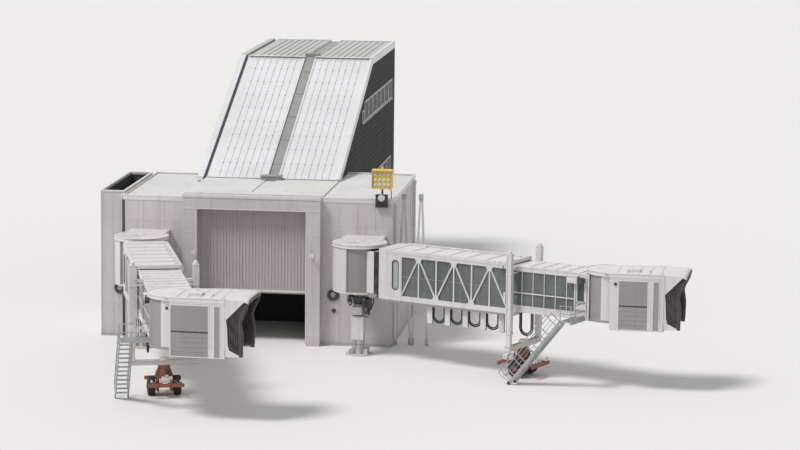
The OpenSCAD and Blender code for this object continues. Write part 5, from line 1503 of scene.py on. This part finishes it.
class GATE_OT_canopies(ArmOperator, bpy.types.Operator):
    """Folding canopies: pleated fabric round the cab's mouth, its padded edge and its folding arms"""

    bl_idname = "gate.canopies"
    bl_label = "Canopies"

    def dress(self, side, b, a):
        half, low, top = a.cab_half, a.cab_low + 0.075, a.cab_top - 0.012
        inner = half - 0.065

        def hoop(steps_side=12, steps_top=16, corner=5):
            """Points (v, z) of the canopy's section, from the left foot over the top to the right foot."""
            line = [(inner, low + (top - 0.14 - low) * k / steps_side) for k in range(steps_side)]
            line += [(inner - 0.14 + 0.14 * math.cos(t), top - 0.2 + 0.14 * math.sin(t))
                     for t in (math.pi / 2 * k / corner for k in range(corner + 1))]
            line += [((inner - 0.14) * (1 - 2 * k / steps_top), top - 0.06) for k in range(1, steps_top)]
            return line + [(-v, z) for v, z in line[: steps_side + corner + 1][::-1]]

        def reach(z):
            """How far forward the front edge stands at height z: the top leads and the middle dips back."""
            share = (z - low) / (top - low)
            dip = 0.13 * math.exp(-((share - 0.62) / 0.2) ** 2)
            return a.canopy * (0.66 + 0.3 * share ** 1.4) - dip

        section = hoop()
        place, body = cab_place(side), side + "_cab"
        rows, per_fold = [], 6
        total = a.folds * per_fold
        for i in range(total + 1):
            share = i / total
            wave = abs(((i / per_fold) % 1) * 2 - 1)
            row = []
            for k, (v, z) in enumerate(section):
                out = 0.058 * (1 - wave) ** 0.8 - 0.012
                sag = 0.012 * math.sin(k * 1.7 + i * 0.9)
                side_v = min(1.0, abs(v) / inner)
                at_top = 1.0 if z > top - 0.13 else 0.0
                push_v = out * (1 - at_top * 0.9) * math.copysign(1, v) * (side_v ** 4)
                push_z = min(out * at_top, 0.052) - (0.02 * math.sin(math.pi * share * 3) * (1 - side_v ** 2) * at_top)
                foot = max(0.0, 1 - (z - low) / 0.25)
                row.append((a.cab_front + 0.005 + (reach(z) - 0.03) * share + sag * share * (1 - share) * 2,
                            v + push_v * (1 - 0.5 * foot), z + push_z + foot * 0.05 * share))
            rows.append(row)
        cloth = Pieces(place).skin(rows).done(side + "_canopy_bellows", "canopy_fabric", body, sharp=60, tidy=False)
        thicken(cloth, 0.006)
        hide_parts(side + "_canopy")

        edge = Pieces(place)
        front = [(a.cab_front + reach(z) - 0.02, v, z) for v, z in section]
        rings = []
        for k, p in enumerate(front):
            centre = Vector(p)
            way = (Vector(front[min(k + 1, len(front) - 1)]) - Vector(front[max(k - 1, 0)])).normalized()
            across = way.cross(Vector((1, 0, 0))).normalized()
            ahead = across.cross(way).normalized()
            puff = 1 + 0.1 * math.sin(k * 1.3)
            rings.append([centre + across * (0.052 * math.cos(t)) + ahead * (0.062 * puff * math.sin(t))
                          for t in (2 * math.pi * j / 14 for j in range(15))])
        edge.skin(rings)
        pad = edge.done(side + "_canopy_pad", "canopy_fabric", body, sharp=80)

        flaps = Pieces(place)
        line = [(0.004, 3.745), (0.58, 3.745), (0.55, 3.68), (0.03, 3.15), (0.06, 2.9), (0.08, 2.4), (0.12, 2.25),
                (0.42, 2.1), (0.42, 2.045), (0.004, 2.045)]
        for s in (-1, 1):
            near, far = s * (half - 0.008), s * half
            flaps.side_plan([(a.cab_front + u, z) for u, z in line], near, far)
        flaps.done(side + "_canopy_flaps", "white_paint", body)

        lead = a.cab_front + reach(top) + 0.012
        rows = []
        for i, u in enumerate(steps(a.cab_front - 0.03, lead, 8)):
            crown = a.cab_top + 0.05 - 0.05 * max(0.0, (i - 6) / 2) ** 2
            rows.append([(u, half * t / 10, crown - 0.045 * abs(t / 10) ** 2.5 - (0.07 if abs(t) == 10 else 0.0))
                         for t in range(-10, 11)])
        hood = Pieces(place).skin(rows).done(side + "_canopy_hood", "white_paint", body, sharp=50)
        thicken(hood, 0.006)

        struts = Pieces(place)
        for s in (-1, 1):
            v = s * (inner - 0.06)
            for z0 in (low + 0.45, low + 1.25):
                knees = steps(a.cab_front + 0.02, a.cab_front - 0.08 + reach(z0), 5)
                for k, (x0, x1) in enumerate(zip(knees, knees[1:])):
                    za, zb = (z0, z0 + 0.22) if k % 2 else (z0 + 0.22, z0)
                    struts.bar((x0, v, za), (x1, v, zb), 0.012, 0.03, (0, 0, 1))
                    struts.rod((x0, v - 0.012, za), (x0, v + 0.012, za), 0.018, 12)
        struts.done(side + "_canopy_arms", "dark_steel", body)


class GATE_OT_stairs(ArmOperator, bpy.types.Operator):
    """Gratings, nosings, mid rails and rollers of the service stairs"""

    bl_idname = "gate.stairs"
    bl_label = "Service stairs"

    def dress(self, side, b, a):
        rise = a.b_low + 0.06 - 0.033
        run, count, roller = 1.8, 12, 0.06
        span, tilt = math.hypot(run, rise), math.atan2(rise, run)
        v0, w = a.stair_v - a.stair_w, a.stair_w
        body = side + "_service_stair"
        place = inner_place(side) @ Matrix.Translation((a.stair_u, 0, rise)) @ Matrix.Rotation(-tilt, 4, "Y")
        treads = Pieces(place)
        level = Matrix.Rotation(tilt, 4, "Y")
        for i in range(1, count + 1):
            at = Matrix.Translation((-span + 0.06 + i * (span - 0.13) / (count + 1), 0, -0.02)) @ level
            treads.place = place @ at
            treads.box((-0.078, -0.062), (v0 + 0.033, v0 + w - 0.033), (-0.014, 0.016))
            for k in range(10):
                v = v0 + 0.05 + k * (w - 0.1) / 9
                treads.box((-0.065, 0.068), about(v, 0.004), (0.011, 0.017))
            for s in (v0 + 0.031, v0 + w - 0.037):
                treads.box(both(0.06), (s, s + 0.006), (-0.03, 0.012))
        treads.done(side + "_stair_treads", "galvanised", body)

        rails = Pieces(place)
        for s in (0, 1):
            v = v0 + 0.042 + s * (w - 0.09)
            rails.tube([(-span + 0.19, v, 0.25), (-0.17, v, 0.25)], 0.009, 8)
            rails.tube([(-span + 0.19, v, 0.49), (-span + 0.09, v, 0.47), (-span + 0.05, v, 0.36),
                        (-span + 0.1, v, 0.12), (-span + 0.14, v, 0.03)], 0.013, 10)
            for k in range(5):
                u = -span + 0.192 + k * (span - 0.364) / 4
                rails.rod((u, v, 0.47), (u, v, 0.5), 0.017, 12)
                rails.box(about(u, 0.03), about(v, 0.018), (0.02, 0.03))
        rails.done(side + "_stair_rails", "galvanised", body)

        tyres = Pieces(place)
        reach = (rise - roller) / math.sin(tilt)
        for s in (0, 1):
            v = v0 + 0.025 + 0.0003 + s * (w - 0.09)
            tyres.turned((-reach, v, 0), (-reach, v + 0.0394, 0),
                         [(-0.002, 0.03), (-0.002, 0.052), (0.006, 0.0598), (0.033, 0.0598), (0.0415, 0.052),
                          (0.0415, 0.03)], 32)
        tyres.done(side + "_stair_rollers", "rubber", body, "tyre")


class GATE_PT_panel(bpy.types.Panel):
    """Lists the gate's operators and values"""

    bl_label = "Airport gate"
    bl_idname = "GATE_PT_panel"
    bl_space_type = "VIEW_3D"
    bl_region_type = "UI"
    bl_category = "Gate"

    def draw(self, context):
        for operator in OPERATORS:
            self.layout.operator(operator.bl_idname)
        for group in (context.scene.gate_building, context.scene.gate_arms, context.scene.gate_paints):
            box = self.layout.box()
            for name in group.__annotations__:
                box.prop(group, name)


GROUPS = {"gate_building": GateBuilding, "gate_arms": GateArms, "gate_paints": GatePaints}
OPERATORS = (GATE_OT_stage, GATE_OT_finishes, GATE_OT_cable_trolleys, GATE_OT_lifts, GATE_OT_portal, GATE_OT_link,
             GATE_OT_roofs,
             GATE_OT_wings, GATE_OT_docking_lamp, GATE_OT_rotundas, GATE_OT_outer_tunnels, GATE_OT_inner_tunnels,
             GATE_OT_bogies, GATE_OT_cabs, GATE_OT_canopies, GATE_OT_stairs)


def register():
    for made in (*GROUPS.values(), *OPERATORS, GATE_PT_panel):
        bpy.utils.register_class(made)
    for name, group in GROUPS.items():
        setattr(bpy.types.Scene, name, PointerProperty(type=group))


def unregister():
    for name in GROUPS:
        delattr(bpy.types.Scene, name)
    for made in (GATE_PT_panel, *reversed(OPERATORS), *reversed(list(GROUPS.values()))):
        bpy.utils.unregister_class(made)


def main():
    register()
    for operator in OPERATORS:
        group, name = operator.bl_idname.split(".")
        getattr(getattr(bpy.ops, group), name)()


if __name__ == "__main__":
    main()
